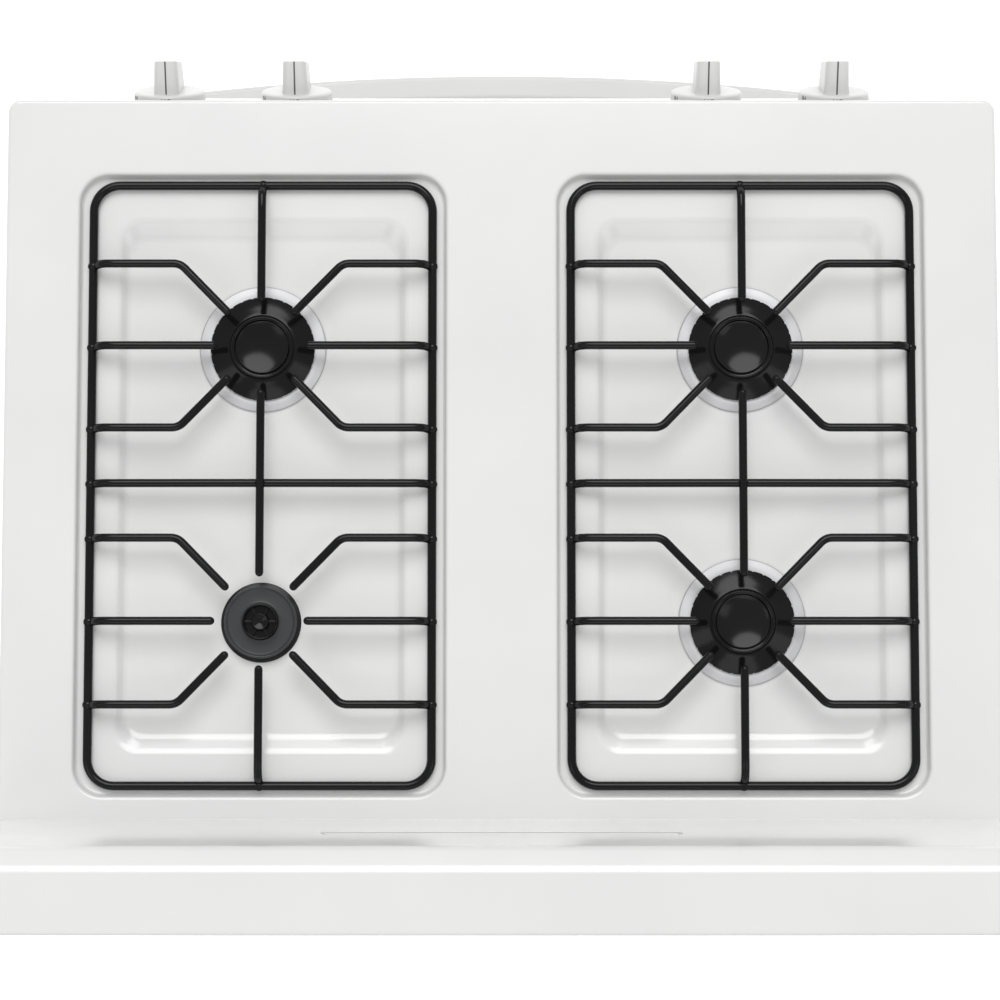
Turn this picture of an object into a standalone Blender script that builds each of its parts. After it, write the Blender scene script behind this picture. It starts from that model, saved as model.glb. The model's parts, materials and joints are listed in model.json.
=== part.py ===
"""A freestanding gas range, front towards -Y, standing on the floor at Z = 0, in metres."""

import math

import bmesh
import bpy
from mathutils import Matrix, Vector

# Overall sizes
WIDTH = 0.760  # across the cooktop and the backguard
COOKTOP_HEIGHT = 0.914  # floor to the cooktop's rim
BODY_DEPTH = 0.634  # cooktop's front edge to the rear face
HANDLE_REACH = 0.065  # how far the handle's bow stands ahead of the cooktop

# Sheet, and the clearances between pieces
SHEET = 0.0010
GAP = 0.0003  # between fixed pieces that rest on each other
RUNNING = 0.0004  # round a stem in its bore
SLIDING = 0.0015  # beside a drawer or a rack
OVERCUT = 0.010  # how far a cutter runs past the face it opens

# Backguard
BACKGUARD_DEPTH = 0.082
BACKGUARD_RISE = 0.104
BACKGUARD_LEAN = 0.019  # how far its face leans back
BACKGUARD_SLOPE = (0.016, 0.009)  # depth and height of the slope above the face
VENT_SLOT = (0.1325, 0.0035)  # half length and height
VENT_SLOT_RISE = 0.0458

# Body
SIDE_INSET = 0.003  # cooktop's edge to the side panels' faces
SKIRT = 0.016  # height of the cooktop's turned-down edge
CORNER_RADIUS = 0.010  # cooktop's front corners
RIM_RADIUS = 0.003  # cooktop's upper edge
FLANGE = 0.020  # inward folds of the side panels
BODY_BOTTOM = 0.030
FRAME_DEPTH = 0.004
FRAME_TOP_LAP = 0.013  # frame above the oven's opening
BASE_WALL = 0.030
REAR_VENTS = 3
REAR_VENT_HEIGHT = 0.008
REAR_VENT_PITCH = 0.022
REAR_VENT_DROP = 0.100  # rear panel's top edge to the first vent
REAR_VENT_MARGIN = 0.137
FOOT_RADIUS = 0.018
FOOT_PAD = 0.010
FOOT_CONE = 0.014
FOOT_STEM = 0.005
FOOT_STEM_RISE = 0.021  # stem's end above the base pan
FOOT_INSET_X = 0.036
FOOT_INSET_Y = 0.045

# Oven
OVEN_SIDE_SPACE = 0.073  # side panel to the oven's wall
OVEN_ABOVE_DOOR = 0.045  # oven's floor above the door's lower edge
OVEN_BELOW_PANEL = 0.024  # oven's roof below the manifold panel
OVEN_BACK_SPACE = 0.094  # oven's rear wall to the rear face
OVEN_CORNER = 0.008
LINER_LIP = 0.011
FLOOR_HOLE_MARGINS = (0.055, 0.080, 0.040)  # at the sides, in front and behind
LEDGE_COUNT = 5
LEDGE_FIRST = 0.060  # top of the lowest ledge above the oven's floor
LEDGE_HEADROOM = 0.090  # highest ledge to the oven's roof
LEDGE_WIDTH = 0.010
LEDGE_THICK = 0.004
LEDGE_MARGINS = (0.020, 0.010)  # in front and behind
RACK_THICK = 0.005
RACK_LEVELS = {"lower": 2, "upper": 4}
RACK_BARS = 13
RACK_ROWS = 3
RACK_MARGINS = (0.018, 0.020)  # in front and behind
FLOOR_MARGINS = (0.006, 0.004)  # in front and behind
HEAT_SLOTS = 4
HEAT_SLOT = (0.010, 0.6)  # width, and share of the pitch
HEAT_SLOT_INSET = 0.024
BURNER_TUBE = 0.012
BURNER_TUBE_DROP = 0.010  # tube's top below the liner
BURNER_TUBE_FRONT = 0.050  # frame to the tube's end
BURNER_TUBE_PAST = 0.020  # how far the tube runs past the oven's rear wall
BURNER_TAB = (0.020, 0.016)
BURNER_TAB_INSETS = (0.056, 0.030)  # from the frame, and from the oven's rear wall
FLUE_HALF_WIDTH = 0.110
FLUE_BACK_SPACE = 0.034  # duct to the rear face
FLUE_SHOULDER = 0.005  # above the oven's roof
FLUE_FOOT = 0.060  # below the oven's roof
FLUE_RISE = 0.030  # above the cooktop's rim
FLUE_CLEARANCE = 0.001  # to the backguard's face
FLUE_WINDOW = (0.020, 0.050, 0.020)  # side margin, then lower and upper edges below the roof

# Manifold panel and its controls
PANEL_SLANT = math.radians(25)
PANEL_TOP = 0.0175  # below the cooktop's rim
PANEL_BOTTOM = 0.095
PANEL_TOP_SETBACK = 0.0096  # behind the cooktop's front edge
KNOB_NAMES = ("front_left", "rear_left", "rear_right", "front_right")
KNOB_EDGE = 0.118  # cooktop's side edge to the outer knobs' axes
KNOB_SPACING = 0.1005
KNOB_BELOW = 0.0555  # where a knob's axis meets the panel, below the rim
KNOB_RADIUS = 0.028
KNOB_SKIRT = 0.010
KNOB_GRIP = (0.021, 0.044, 0.0228)  # width, length and rise of the grip
KNOB_GRIP_TILT = 0.0078  # rise from its lower end to its upper end
KNOB_GRIP_TAPER = (0.88, 0.97)
KNOB_STANDOFF = 0.0036
KNOB_PUSH = 0.003
STEM_RADIUS = 0.003
STEM_IN_VALVE = 0.0066
STEM_IN_KNOB = 0.017
STEM_END_SPACE = 0.0006
STEM_HOLE_CLEARANCE = 0.003
VALVE_RADIUS = 0.0115
VALVE_FRONT = 0.014  # behind the panel's face
VALVE_LENGTH = 0.034
VALVE_NECK = (0.005, 0.0055)  # radius and length
MANIFOLD_RADIUS = 0.008
MANIFOLD_BEND = 0.020
MANIFOLD_END = 0.025  # past the left-hand valve
PIPE_FROM_SIDE = 0.040  # where the supply pipe runs back
OVEN_DIAL_BELOW = 0.036
OVEN_DIAL_RADIUS = 0.015
OVEN_DIAL_RISE = 0.0046
OVEN_DIAL_BEVEL = 0.0015
REGULATOR_RADIUS = 0.019
REGULATOR_SPAN = (-0.018, 0.020)  # below and above the pipe
REGULATOR_FROM_BACK = 0.036
INLET_RADIUS = 0.010
INLET_CLEARANCE = 0.003

# Pans, burners and grates
PAN_SIDE = 0.057  # pan to the cooktop's side edge
PAN_MIDDLE = 0.043  # pan to the cooktop's middle
PAN_FRONT = 0.0595
PAN_REAR = 0.0175
PAN_CORNER = 0.022
PAN_LEDGE = 0.007
PAN_DEPTH = 0.013
WELL_INSET = (0.033, 0.0395)  # pan's edge to the well's
BURNER_INSET = (0.094, 0.092)  # well's front and rear edges to the burners' axes
BURNER_HOLE_CLEARANCE = 0.0015
BURNER_SPIGOT_DROP = 0.022
LARGE_SPIGOT = 0.0270
LARGE_BASE = (0.0487, 0.0040)  # radius and height
LARGE_WELL = 0.0070  # where the cap sits, above the pan
SMALL_SPIGOT = 0.0200
SMALL_BASE = (0.0306, 0.0030)
SMALL_WELL = 0.0050
GRATE_CLEARANCE = (0.0100, 0.0075)
GRATE_CORNER = 0.020
GRATE_ROD = 0.0033
FINGER_ROD = 0.0030
FINGER_HEIGHT = 0.009  # finger centres above the rim
CROSSBAR_HEIGHT = 0.0045
FINGER_ROW = 0.063
FINGER_TIP = 0.033
FINGER_BEND = 0.062
CLIMB = ((0.0015, 0.0), (0.0055, 0.5), (0.012, 1.0))  # inwards from the frame, share of the height

# Door and drawer
DOOR_FACE = -0.018  # door's outer face, behind the cooktop's front edge
DOOR_TOP_GAP = 0.007
DOOR_BOTTOM = 0.300
DOOR_SHELL = 0.034
DOOR_EDGE_RADIUS = 0.004
DOOR_LINER = 0.0057
DOOR_SEAL = 0.006  # door's liner to the side panels' front edges
LINER_INSET = 0.003
WINDOW_MARGINS = (0.142, 0.110, 0.122)  # door's side, lower and upper edges to the window
WINDOW_CORNER = 0.015
WINDOW_LIP = 0.015
GLASS = 0.004
HINGE_RISE = 0.014  # pin above the door's lower edge
HINGE_BEHIND = 0.0
HINGE_FROM_SIDE = 0.047
HINGE_ARM = (0.004, 0.014)  # thickness and height
HINGE_PIN = 0.0025
HINGE_PIN_REACH = 0.006  # beyond the arm's faces
EYE_LAP = 0.0002  # eye's faces beyond the arm's
HINGE_SLOT = (0.002, 0.003)  # clearance beside and round the arm
HANDLE_BELOW = 0.175  # handle's centre line below the cooktop's rim
HANDLE_RADIUS = 0.0105
HANDLE_END = 0.059  # side panel's face to the handle's end
HANDLE_SAG = 0.022  # how far its ends stand behind its middle
HANDLE_POST = 0.0085
HANDLE_POST_INSET = 0.018
DRAWER_TOP_GAP = 0.011
DRAWER_BOTTOM = 0.0755
DRAWER_LAP = 0.002  # drawer's front over the frame's opening
TRAY_SIDE_SPACE = 0.047
TRAY_OPENING = 0.015  # frame's opening beside the tray
TRAY_RISE = 0.0095  # tray above the drawer front's lower edge
TRAY_WALL = 0.150
TRAY_BACK_SPACE = 0.074
BROILER_PAN = (0.340, 0.320, 0.038)
BROILER_PAN_FRONT = 0.110
RAIL_WALL = 0.002
RAIL_SEAT = 0.020
RAIL_GUIDE = 0.030
RAIL_MARGINS = (0.004, 0.030)  # behind the frame, and past the tray

# Places that follow from them
FRONT = (HANDLE_REACH - BODY_DEPTH) / 2  # Y of the cooktop's front edge
COOKTOP_DEPTH = BODY_DEPTH - BACKGUARD_DEPTH
SIDE = WIDTH / 2 - SIDE_INSET  # outer faces of the side panels
BODY_FRONT = DOOR_FACE + DOOR_SHELL + GAP + DOOR_LINER + DOOR_SEAL  # side panels' front edges
FRAME_FRONT = BODY_FRONT + SHEET + GAP
FRAME_BACK = FRAME_FRONT + FRAME_DEPTH
DOOR_TOP = COOKTOP_HEIGHT - PANEL_BOTTOM - DOOR_TOP_GAP
DRAWER_TOP = DOOR_BOTTOM - DRAWER_TOP_GAP
OVEN_HALF_WIDTH = SIDE - OVEN_SIDE_SPACE
OVEN_FLOOR = DOOR_BOTTOM + OVEN_ABOVE_DOOR
OVEN_TOP = COOKTOP_HEIGHT - PANEL_BOTTOM - OVEN_BELOW_PANEL
OVEN_BACK = BODY_DEPTH - OVEN_BACK_SPACE
LEDGE_SPACING = (OVEN_TOP - OVEN_FLOOR - LEDGE_FIRST - LEDGE_HEADROOM) / (LEDGE_COUNT - 1)
RISER_FRONT = (
    COOKTOP_DEPTH
    + BACKGUARD_LEAN * FLUE_RISE / (BACKGUARD_RISE - BACKGUARD_SLOPE[1])
    + SHEET
    + FLUE_CLEARANCE
)
KNOB_X = tuple(
    side * (WIDTH / 2 - KNOB_EDGE - inner * KNOB_SPACING)
    for side, inner in ((-1, 0), (-1, 1), (1, 1), (1, 0))
)
MANIFOLD_BEHIND = VALVE_FRONT + VALVE_LENGTH + VALVE_NECK[1] + MANIFOLD_RADIUS
PIPE_SIDE = SIDE - PIPE_FROM_SIDE
PAN_SIZE = (WIDTH / 2 - PAN_SIDE - PAN_MIDDLE, COOKTOP_DEPTH - PAN_FRONT - PAN_REAR)
PAN_X = PAN_MIDDLE + PAN_SIZE[0] / 2
PAN_CENTRE = PAN_FRONT + PAN_SIZE[1] / 2  # behind the cooktop's front edge
WELL_SIZE = tuple(size - 2 * inset for size, inset in zip(PAN_SIZE, WELL_INSET))
GRATE_SIZE = tuple(size - 2 * space for size, space in zip(PAN_SIZE, GRATE_CLEARANCE))
BURNER_Y = {
    "front": PAN_CENTRE - WELL_SIZE[1] / 2 + BURNER_INSET[0],
    "rear": PAN_CENTRE + WELL_SIZE[1] / 2 - BURNER_INSET[1],
}
HINGE_HEIGHT = DOOR_BOTTOM + HINGE_RISE
HINGE_X = SIDE - HINGE_FROM_SIDE
HANDLE_HALF = SIDE - HANDLE_END
TRAY_HALF_WIDTH = SIDE - TRAY_SIDE_SPACE
TRAY_BOTTOM = DRAWER_BOTTOM + TRAY_RISE
TRAY_BACK = BODY_DEPTH - TRAY_BACK_SPACE


def behind(distance):
    """Y of a plane this far behind the cooktop's front edge."""
    return FRONT + distance


def below(distance):
    """Z of a plane this far below the cooktop's rim."""
    return COOKTOP_HEIGHT - distance


def panel_face(depth):
    """Distance of the slanted panel behind the front edge, at a depth below the rim."""
    return PANEL_TOP_SETBACK - (depth - PANEL_TOP) * math.tan(PANEL_SLANT)


# Scene helpers


def clear_scene():
    for item in list(bpy.data.objects):
        bpy.data.objects.remove(item, do_unlink=True)


def new_collection(name):
    collection = bpy.data.collections.new(name)
    bpy.context.scene.collection.children.link(collection)
    return collection


def make_material(name, color, roughness, metallic):
    made = bpy.data.materials.new(name)
    made.use_nodes = True
    shader = made.node_tree.nodes["Principled BSDF"]
    shader.inputs["Base Color"].default_value = (*color, 1)
    shader.inputs["Roughness"].default_value = roughness
    shader.inputs["Metallic"].default_value = metallic
    made.diffuse_color = (*color, 1)
    return made


LOOKS = {
    "white_enamel": ((0.80, 0.80, 0.79), 0.18, 0.0),
    "black_enamel": ((0.012, 0.012, 0.013), 0.22, 0.0),
    "grey_enamel": ((0.10, 0.10, 0.11), 0.35, 0.0),
    "zinc_steel": ((0.55, 0.56, 0.57), 0.42, 1.0),
    "aluminium": ((0.62, 0.62, 0.63), 0.38, 1.0),
    "brass": ((0.70, 0.52, 0.25), 0.35, 1.0),
    "white_plastic": ((0.80, 0.80, 0.78), 0.35, 0.0),
    "dark_glass": ((0.02, 0.02, 0.022), 0.06, 0.0),
    "black_plastic": ((0.03, 0.03, 0.03), 0.60, 0.0),
    "chrome": ((0.75, 0.75, 0.76), 0.12, 1.0),
}


def place(name, mesh, look):
    """A new object in the range's collection, with a material of its own."""
    made = bpy.data.objects.new(name, mesh)
    range_parts.objects.link(made)
    made.data.materials.clear()
    made.data.materials.append(make_material(f"{name}_{look}", *LOOKS[look]))
    return made


def helper(name, mesh):
    """An object that only cuts or joins another one."""
    made = bpy.data.objects.new(name, mesh)
    cutters.objects.link(made)
    made.hide_render = True
    made.display_type = "WIRE"
    return made


def mesh_from(name, shape):
    bmesh.ops.recalc_face_normals(shape, faces=shape.faces)
    if shape.calc_volume(signed=True) < 0:
        bmesh.ops.reverse_faces(shape, faces=shape.faces)
    mesh = bpy.data.meshes.new(name)
    shape.to_mesh(mesh)
    shape.free()
    return mesh


def round_edges(shape, radius, segments, picked):
    edges = [edge for edge in shape.edges if picked(*(vert.co for vert in edge.verts))]
    bmesh.ops.bevel(
        shape, geom=edges, offset=radius, segments=segments, profile=0.5, affect="EDGES"
    )


def parallel_to(axis):
    return lambda a, b: (a - b).normalized()[axis] ** 2 > 0.99


def box(name, low, high, radius=0.0, axis=2, segments=3):
    """A box between two corners. With a radius, its edges along one axis are rounded."""
    shape = bmesh.new()
    bmesh.ops.create_cube(shape, size=1)
    bmesh.ops.scale(shape, vec=[b - a for a, b in zip(low, high)], verts=shape.verts)
    bmesh.ops.translate(
        shape, vec=[(a + b) / 2 for a, b in zip(low, high)], verts=shape.verts
    )
    if radius:
        round_edges(shape, radius, segments, parallel_to(axis))
    return mesh_from(name, shape)


def cylinder(name, radius, low, high, axis=2, segments=16, centre=(0, 0)):
    """A cylinder along an axis, between two places on it."""
    shape = bmesh.new()
    bmesh.ops.create_cone(
        shape, cap_ends=True, segments=segments, radius1=radius, radius2=radius, depth=high - low
    )
    turn = {0: Matrix.Rotation(math.pi / 2, 4, "Y"), 1: Matrix.Rotation(-math.pi / 2, 4, "X")}
    shape.transform(turn.get(axis, Matrix()))
    middle = list(centre)
    middle.insert(axis, (low + high) / 2)
    bmesh.ops.translate(shape, vec=middle, verts=shape.verts)
    return mesh_from(name, shape)


def curve_mesh(name, curve, matrix):
    """The closed mesh of a curve, in the frame that matrix gives."""
    guide = bpy.data.objects.new(name, curve)
    bpy.context.scene.collection.objects.link(guide)
    graph = bpy.context.evaluated_depsgraph_get()
    mesh = bpy.data.meshes.new_from_object(guide.evaluated_get(graph))
    bpy.data.objects.remove(guide, do_unlink=True)
    shape = bmesh.new()
    shape.from_mesh(mesh)
    bmesh.ops.remove_doubles(shape, verts=shape.verts, dist=1e-6)
    shape.transform(matrix)
    return mesh_from(name, shape)


def poly_spline(curve, points, closed):
    spline = curve.splines.new("POLY")
    spline.points.add(len(points) - 1)
    for slot, point in zip(spline.points, points):
        slot.co = (*point, *([0] * (3 - len(point))), 1)
    spline.use_cyclic_u = closed


def extruded(name, outline, axis, low, high):
    """A closed outline extruded along an axis: (y, z) along X, (x, z) along Y, (x, y) along Z."""
    curve = bpy.data.curves.new(name, "CURVE")
    curve.dimensions = "2D"
    curve.fill_mode = "BOTH"
    curve.extrude = (high - low) / 2
    poly_spline(curve, outline, True)
    first, second = [Vector(row) for row in Matrix.Identity(3) if row[axis] == 0]
    third = Vector(Matrix.Identity(3)[axis])
    turn = Matrix((first, second, third)).transposed().to_4x4()
    return curve_mesh(name, curve, Matrix.Translation(third * (low + high) / 2) @ turn)


def rod(name, points, radius, closed=False, resolution=1):
    """A round rod along points."""
    curve = bpy.data.curves.new(name, "CURVE")
    curve.dimensions = "3D"
    curve.bevel_depth = radius
    curve.bevel_resolution = resolution
    curve.use_fill_caps = True
    poly_spline(curve, points, closed)
    return curve_mesh(name, curve, Matrix())


def turned(made, profile, steps, closed=False):
    """Turns a profile of (radius, height) points about the object's own Z axis.

    It runs down the outer side. A closed profile makes a ring.
    """
    shape = bmesh.new()
    verts = [shape.verts.new((radius, 0, height)) for radius, height in profile]
    for first, second in zip(verts, verts[1:] + verts[:1] if closed else verts[1:]):
        shape.edges.new((first, second))
    shape.to_mesh(made.data)
    shape.free()
    screw = made.modifiers.new("turn", "SCREW")
    screw.axis = "Z"
    screw.angle = 2 * math.pi
    screw.steps = steps
    screw.render_steps = steps
    screw.use_merge_vertices = True
    screw.merge_threshold = 0.00005
    screw.use_smooth_shade = True
    return made


def boolean(target, operation, *meshes):
    """Joins or cuts target with helper objects, one for each mesh."""
    for mesh in meshes:
        tool = helper(mesh.name, mesh)
        tool.matrix_world = target.matrix_world
        modifier = target.modifiers.new(mesh.name, "BOOLEAN")
        modifier.operation = operation
        modifier.solver = "EXACT"
        modifier.object = tool


def cut(target, *meshes):
    boolean(target, "DIFFERENCE", *meshes)


def join(target, *meshes):
    boolean(target, "UNION", *meshes)


def baked(made):
    """The object's finished mesh. The object and its helpers are removed."""
    bpy.context.view_layer.update()
    graph = bpy.context.evaluated_depsgraph_get()
    mesh = bpy.data.meshes.new_from_object(made.evaluated_get(graph))
    for modifier in made.modifiers:
        if modifier.type == "BOOLEAN":
            bpy.data.objects.remove(modifier.object, do_unlink=True)
    bpy.data.objects.remove(made, do_unlink=True)
    return mesh


def pivot(name, location, turn=None):
    """An empty on a joint's axis, which carries what moves."""
    made = bpy.data.objects.new(name, None)
    made.empty_display_size = 0.03
    range_parts.objects.link(made)
    made.matrix_world = Matrix.Translation(location) @ (turn or Matrix())
    return made


def carry(empty, *pieces):
    """Parents pieces to an empty and leaves them where they are."""
    for piece in pieces:
        piece.parent = empty
        piece.matrix_parent_inverse = empty.matrix_world.inverted()


def inset(outline, distance):
    """An anticlockwise outline moved inwards by a distance."""
    moved = []
    corners = [Vector(point) for point in outline]
    for index, here in enumerate(corners):
        arriving = (here - corners[index - 1]).normalized()
        leaving = (corners[(index + 1) % len(corners)] - here).normalized()
        first = Vector((-arriving.y, arriving.x))
        second = Vector((-leaving.y, leaving.x))
        moved.append(tuple(here + (first + second) * distance / (1 + first.dot(second))))
    return moved


def mirrored(low_x, high_x, side):
    """The same span of X on the left (-1) or right (1) side."""
    return (low_x, high_x) if side > 0 else (-high_x, -low_x)


SIDES = {"left": -1, "right": 1}


# Body


def make_side_panel(name, side):
    """An outer sheet with inward folds all round."""
    low, high = mirrored(SIDE - FLANGE, SIDE, side)
    top = below(SKIRT + GAP)
    back = BODY_DEPTH - SHEET - 2 * GAP
    made = place(
        name, box(name, (low, behind(BODY_FRONT), BODY_BOTTOM), (high, behind(back), top)), "white_enamel"
    )
    inner = mirrored(SIDE - FLANGE - OVERCUT, SIDE - SHEET, side)
    cut(
        made,
        box(
            f"{name}_hollow",
            (inner[0], behind(BODY_FRONT + SHEET), BODY_BOTTOM + SHEET),
            (inner[1], behind(back - SHEET), top - SHEET),
        ),
    )


def make_rear_panel():
    """The back sheet, with the gas inlet's hole and two rows of vents."""
    top = below(SKIRT + 2 * GAP)
    face = behind(BODY_DEPTH - SHEET - GAP)
    low, high = (-SIDE + SHEET, face, BODY_BOTTOM + BASE_WALL), (SIDE - SHEET, face + SHEET, top)
    made = place("rear_panel", box("rear_panel", low, high), "zinc_steel")
    inlet = cylinder(
        "inlet_hole",
        INLET_RADIUS + INLET_CLEARANCE,
        face - OVERCUT,
        face + OVERCUT,
        1,
        centre=(PIPE_SIDE, pipe_height()),
    )
    cut(made, inlet)
    half = SIDE - REAR_VENT_MARGIN
    for row in range(REAR_VENTS):
        height = top - REAR_VENT_DROP - REAR_VENT_PITCH * row
        slot_low = (-half, face - OVERCUT, height)
        slot_high = (half, face + OVERCUT, height + REAR_VENT_HEIGHT)
        cut(made, box("vent", slot_low, slot_high))


def make_base_pan():
    """A tray between the side panels that the feet screw into."""
    half = SIDE - FLANGE - GAP
    low = (-half, behind(FRAME_BACK + GAP), BODY_BOTTOM)
    high = (half, behind(BODY_DEPTH - 2 * SHEET - 3 * GAP), BODY_BOTTOM + BASE_WALL)
    made = place("base_pan", box("base_pan", low, high), "zinc_steel")
    hollow_low = (low[0] + SHEET, low[1] + SHEET, low[2] + SHEET)
    hollow_high = (high[0] - SHEET, high[1] - SHEET, high[2] + OVERCUT)
    cut(made, box("base_pan_hollow", hollow_low, hollow_high))
    for centre in foot_places().values():
        hole_low, hole_high = BODY_BOTTOM - OVERCUT, BODY_BOTTOM + OVERCUT
        cut(made, cylinder("foot_hole", FOOT_STEM + RUNNING, hole_low, hole_high, centre=centre))


def foot_places():
    x = SIDE - FLANGE - FOOT_INSET_X
    rows = {"front": behind(BODY_FRONT + FOOT_INSET_Y), "rear": behind(BODY_DEPTH - FOOT_INSET_Y)}
    return {
        f"{row}_{side}": (sign * x, y) for row, y in rows.items() for side, sign in SIDES.items()
    }


def make_feet():
    """Round feet with a collar under the base pan and a stem through it."""
    collar = BODY_BOTTOM - GAP
    profile = [
        (0, collar + FOOT_STEM_RISE),
        (FOOT_STEM, collar + FOOT_STEM_RISE),
        (FOOT_STEM, collar),
        (FOOT_STEM * 2, collar),
        (FOOT_STEM * 2, FOOT_CONE),
        (FOOT_RADIUS, FOOT_PAD),
        (FOOT_RADIUS, 0.0),
        (0, 0.0),
    ]
    for where, (x, y) in foot_places().items():
        name = f"foot_{where}"
        made = place(name, bpy.data.meshes.new(name), "black_plastic")
        turned(made, profile, 16)
        made.location = (x, y, 0)


def make_front_frame():
    """The frame behind the door and the drawer, with an opening for each."""
    half = SIDE - SHEET - GAP
    y_low, y_high = behind(FRAME_FRONT), behind(FRAME_BACK)
    top = OVEN_TOP + FRAME_TOP_LAP
    made = place(
        "front_frame",
        box("front_frame", (-half, y_low, BODY_BOTTOM + SHEET + GAP), (half, y_high, top)),
        "black_enamel",
    )
    oven = box(
        "oven_opening",
        (-OVEN_HALF_WIDTH, y_low - OVERCUT, OVEN_FLOOR),
        (OVEN_HALF_WIDTH, y_high + OVERCUT, OVEN_TOP),
        OVEN_CORNER,
        1,
    )
    tray_side = TRAY_HALF_WIDTH + TRAY_OPENING
    drawer = box(
        "drawer_opening",
        (-tray_side, y_low - OVERCUT, DRAWER_BOTTOM + DRAWER_LAP / 2),
        (tray_side, y_high + OVERCUT, DRAWER_TOP - DRAWER_LAP),
    )
    cut(made, oven, drawer)


def make_oven_liner():
    """The oven's box, open at the front, with a lip behind the frame and rack ledges."""
    front = behind(FRAME_BACK + GAP)
    back = behind(OVEN_BACK)
    half = OVEN_HALF_WIDTH
    outer = box(
        "oven_liner",
        (-half - SHEET, front, OVEN_FLOOR - SHEET),
        (half + SHEET, back + SHEET, OVEN_TOP + SHEET),
    )
    made = place("oven_liner", outer, "grey_enamel")
    lip = box(
        "liner_lip",
        (-half - LINER_LIP, front, OVEN_FLOOR - LINER_LIP),
        (half + LINER_LIP, front + SHEET, OVEN_TOP + LINER_LIP),
    )
    join(made, lip)
    cavity = box(
        "oven_cavity", (-half, front - OVERCUT, OVEN_FLOOR), (half, back, OVEN_TOP), OVEN_CORNER, 1
    )
    beside, before, after = FLOOR_HOLE_MARGINS
    floor_hole = box(
        "floor_hole",
        (-half + beside, front + before, OVEN_FLOOR - OVERCUT),
        (half - beside, back - after, OVEN_FLOOR + OVERCUT),
    )
    cut(made, cavity, floor_hole, flue_window("flue_hole", back))
    for level in range(1, LEDGE_COUNT + 1):
        top = ledge_top(level)
        for side in SIDES.values():
            low, high = mirrored(half - LEDGE_WIDTH, half + SHEET / 2, side)
            ledge = box(
                f"ledge_{level}",
                (low, front + LEDGE_MARGINS[0], top - LEDGE_THICK),
                (high, back - LEDGE_MARGINS[1], top),
            )
            join(made, ledge)


def ledge_top(level):
    return OVEN_FLOOR + LEDGE_FIRST + (level - 1) * LEDGE_SPACING


def flue_window(name, wall):
    """The opening that the oven's fumes leave by, at a wall's Y."""
    margin, lower, upper = FLUE_WINDOW
    half = FLUE_HALF_WIDTH - margin
    return box(name, (-half, wall - OVERCUT, OVEN_TOP - lower), (half, wall + OVERCUT, OVEN_TOP - upper))


def make_oven_floor():
    """The lift-out oven bottom, with slots along both sides that let the heat up."""
    half = OVEN_HALF_WIDTH - OVEN_CORNER - SLIDING
    low_y, high_y = behind(FRAME_BACK + FLOOR_MARGINS[0]), behind(OVEN_BACK - FLOOR_MARGINS[1])
    bottom = OVEN_FLOOR + GAP
    made = place(
        "oven_floor",
        box("oven_floor", (-half, low_y, bottom), (half, high_y, bottom + SHEET)),
        "grey_enamel",
    )
    width, share = HEAT_SLOT
    pitch = (high_y - low_y) / HEAT_SLOTS
    for index in range(HEAT_SLOTS):
        start = low_y + pitch * (index + (1 - share) / 2)
        end = start + pitch * share
        for side in SIDES.values():
            low, high = mirrored(half - HEAT_SLOT_INSET - width, half - HEAT_SLOT_INSET, side)
            slot_low, slot_high = (low, start, bottom - OVERCUT), (high, end, bottom + OVERCUT)
            cut(made, box("heat_slot", slot_low, slot_high))


def make_oven_burner():
    """The tube burner under the oven, hung from the liner by two tabs."""
    height = OVEN_FLOOR - SHEET - BURNER_TUBE_DROP - BURNER_TUBE
    low_y, high_y = behind(FRAME_BACK + BURNER_TUBE_FRONT), behind(OVEN_BACK + BURNER_TUBE_PAST)
    tube = cylinder("oven_burner", BURNER_TUBE, low_y, high_y, 1, 12, (0, height))
    made = place("oven_burner", tube, "zinc_steel")
    top = OVEN_FLOOR - SHEET - GAP
    width, length = BURNER_TAB
    first, last = BURNER_TAB_INSETS
    for start in (behind(FRAME_BACK + first), behind(OVEN_BACK - last)):
        tab = box("burner_tab", (-width / 2, start, height), (width / 2, start + length, top))
        join(made, tab)


def make_flue_duct():
    """Carries the oven's fumes up behind the liner and into the backguard."""
    half = FLUE_HALF_WIDTH
    front = behind(OVEN_BACK + SHEET + GAP)
    riser_front = behind(RISER_FRONT)
    back = behind(BODY_DEPTH - FLUE_BACK_SPACE)
    shoulder = OVEN_TOP + FLUE_SHOULDER
    top = COOKTOP_HEIGHT + FLUE_RISE
    bottom = OVEN_TOP - FLUE_FOOT
    outer = box("flue_duct", (-half, front, bottom), (half, back, shoulder))
    made = place("flue_duct", outer, "zinc_steel")
    riser = box("flue_riser", (-half, riser_front, shoulder - OVERCUT), (half, back, top))
    join(made, riser)
    lower = box(
        "flue_hollow",
        (-half + SHEET, front + SHEET, bottom + SHEET),
        (half - SHEET, back - SHEET, shoulder - SHEET),
    )
    upper = box(
        "riser_hollow",
        (-half + SHEET, riser_front + SHEET, shoulder - OVERCUT),
        (half - SHEET, back - SHEET, top + OVERCUT),
    )
    cut(made, lower, upper, flue_window("flue_window", front))


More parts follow.
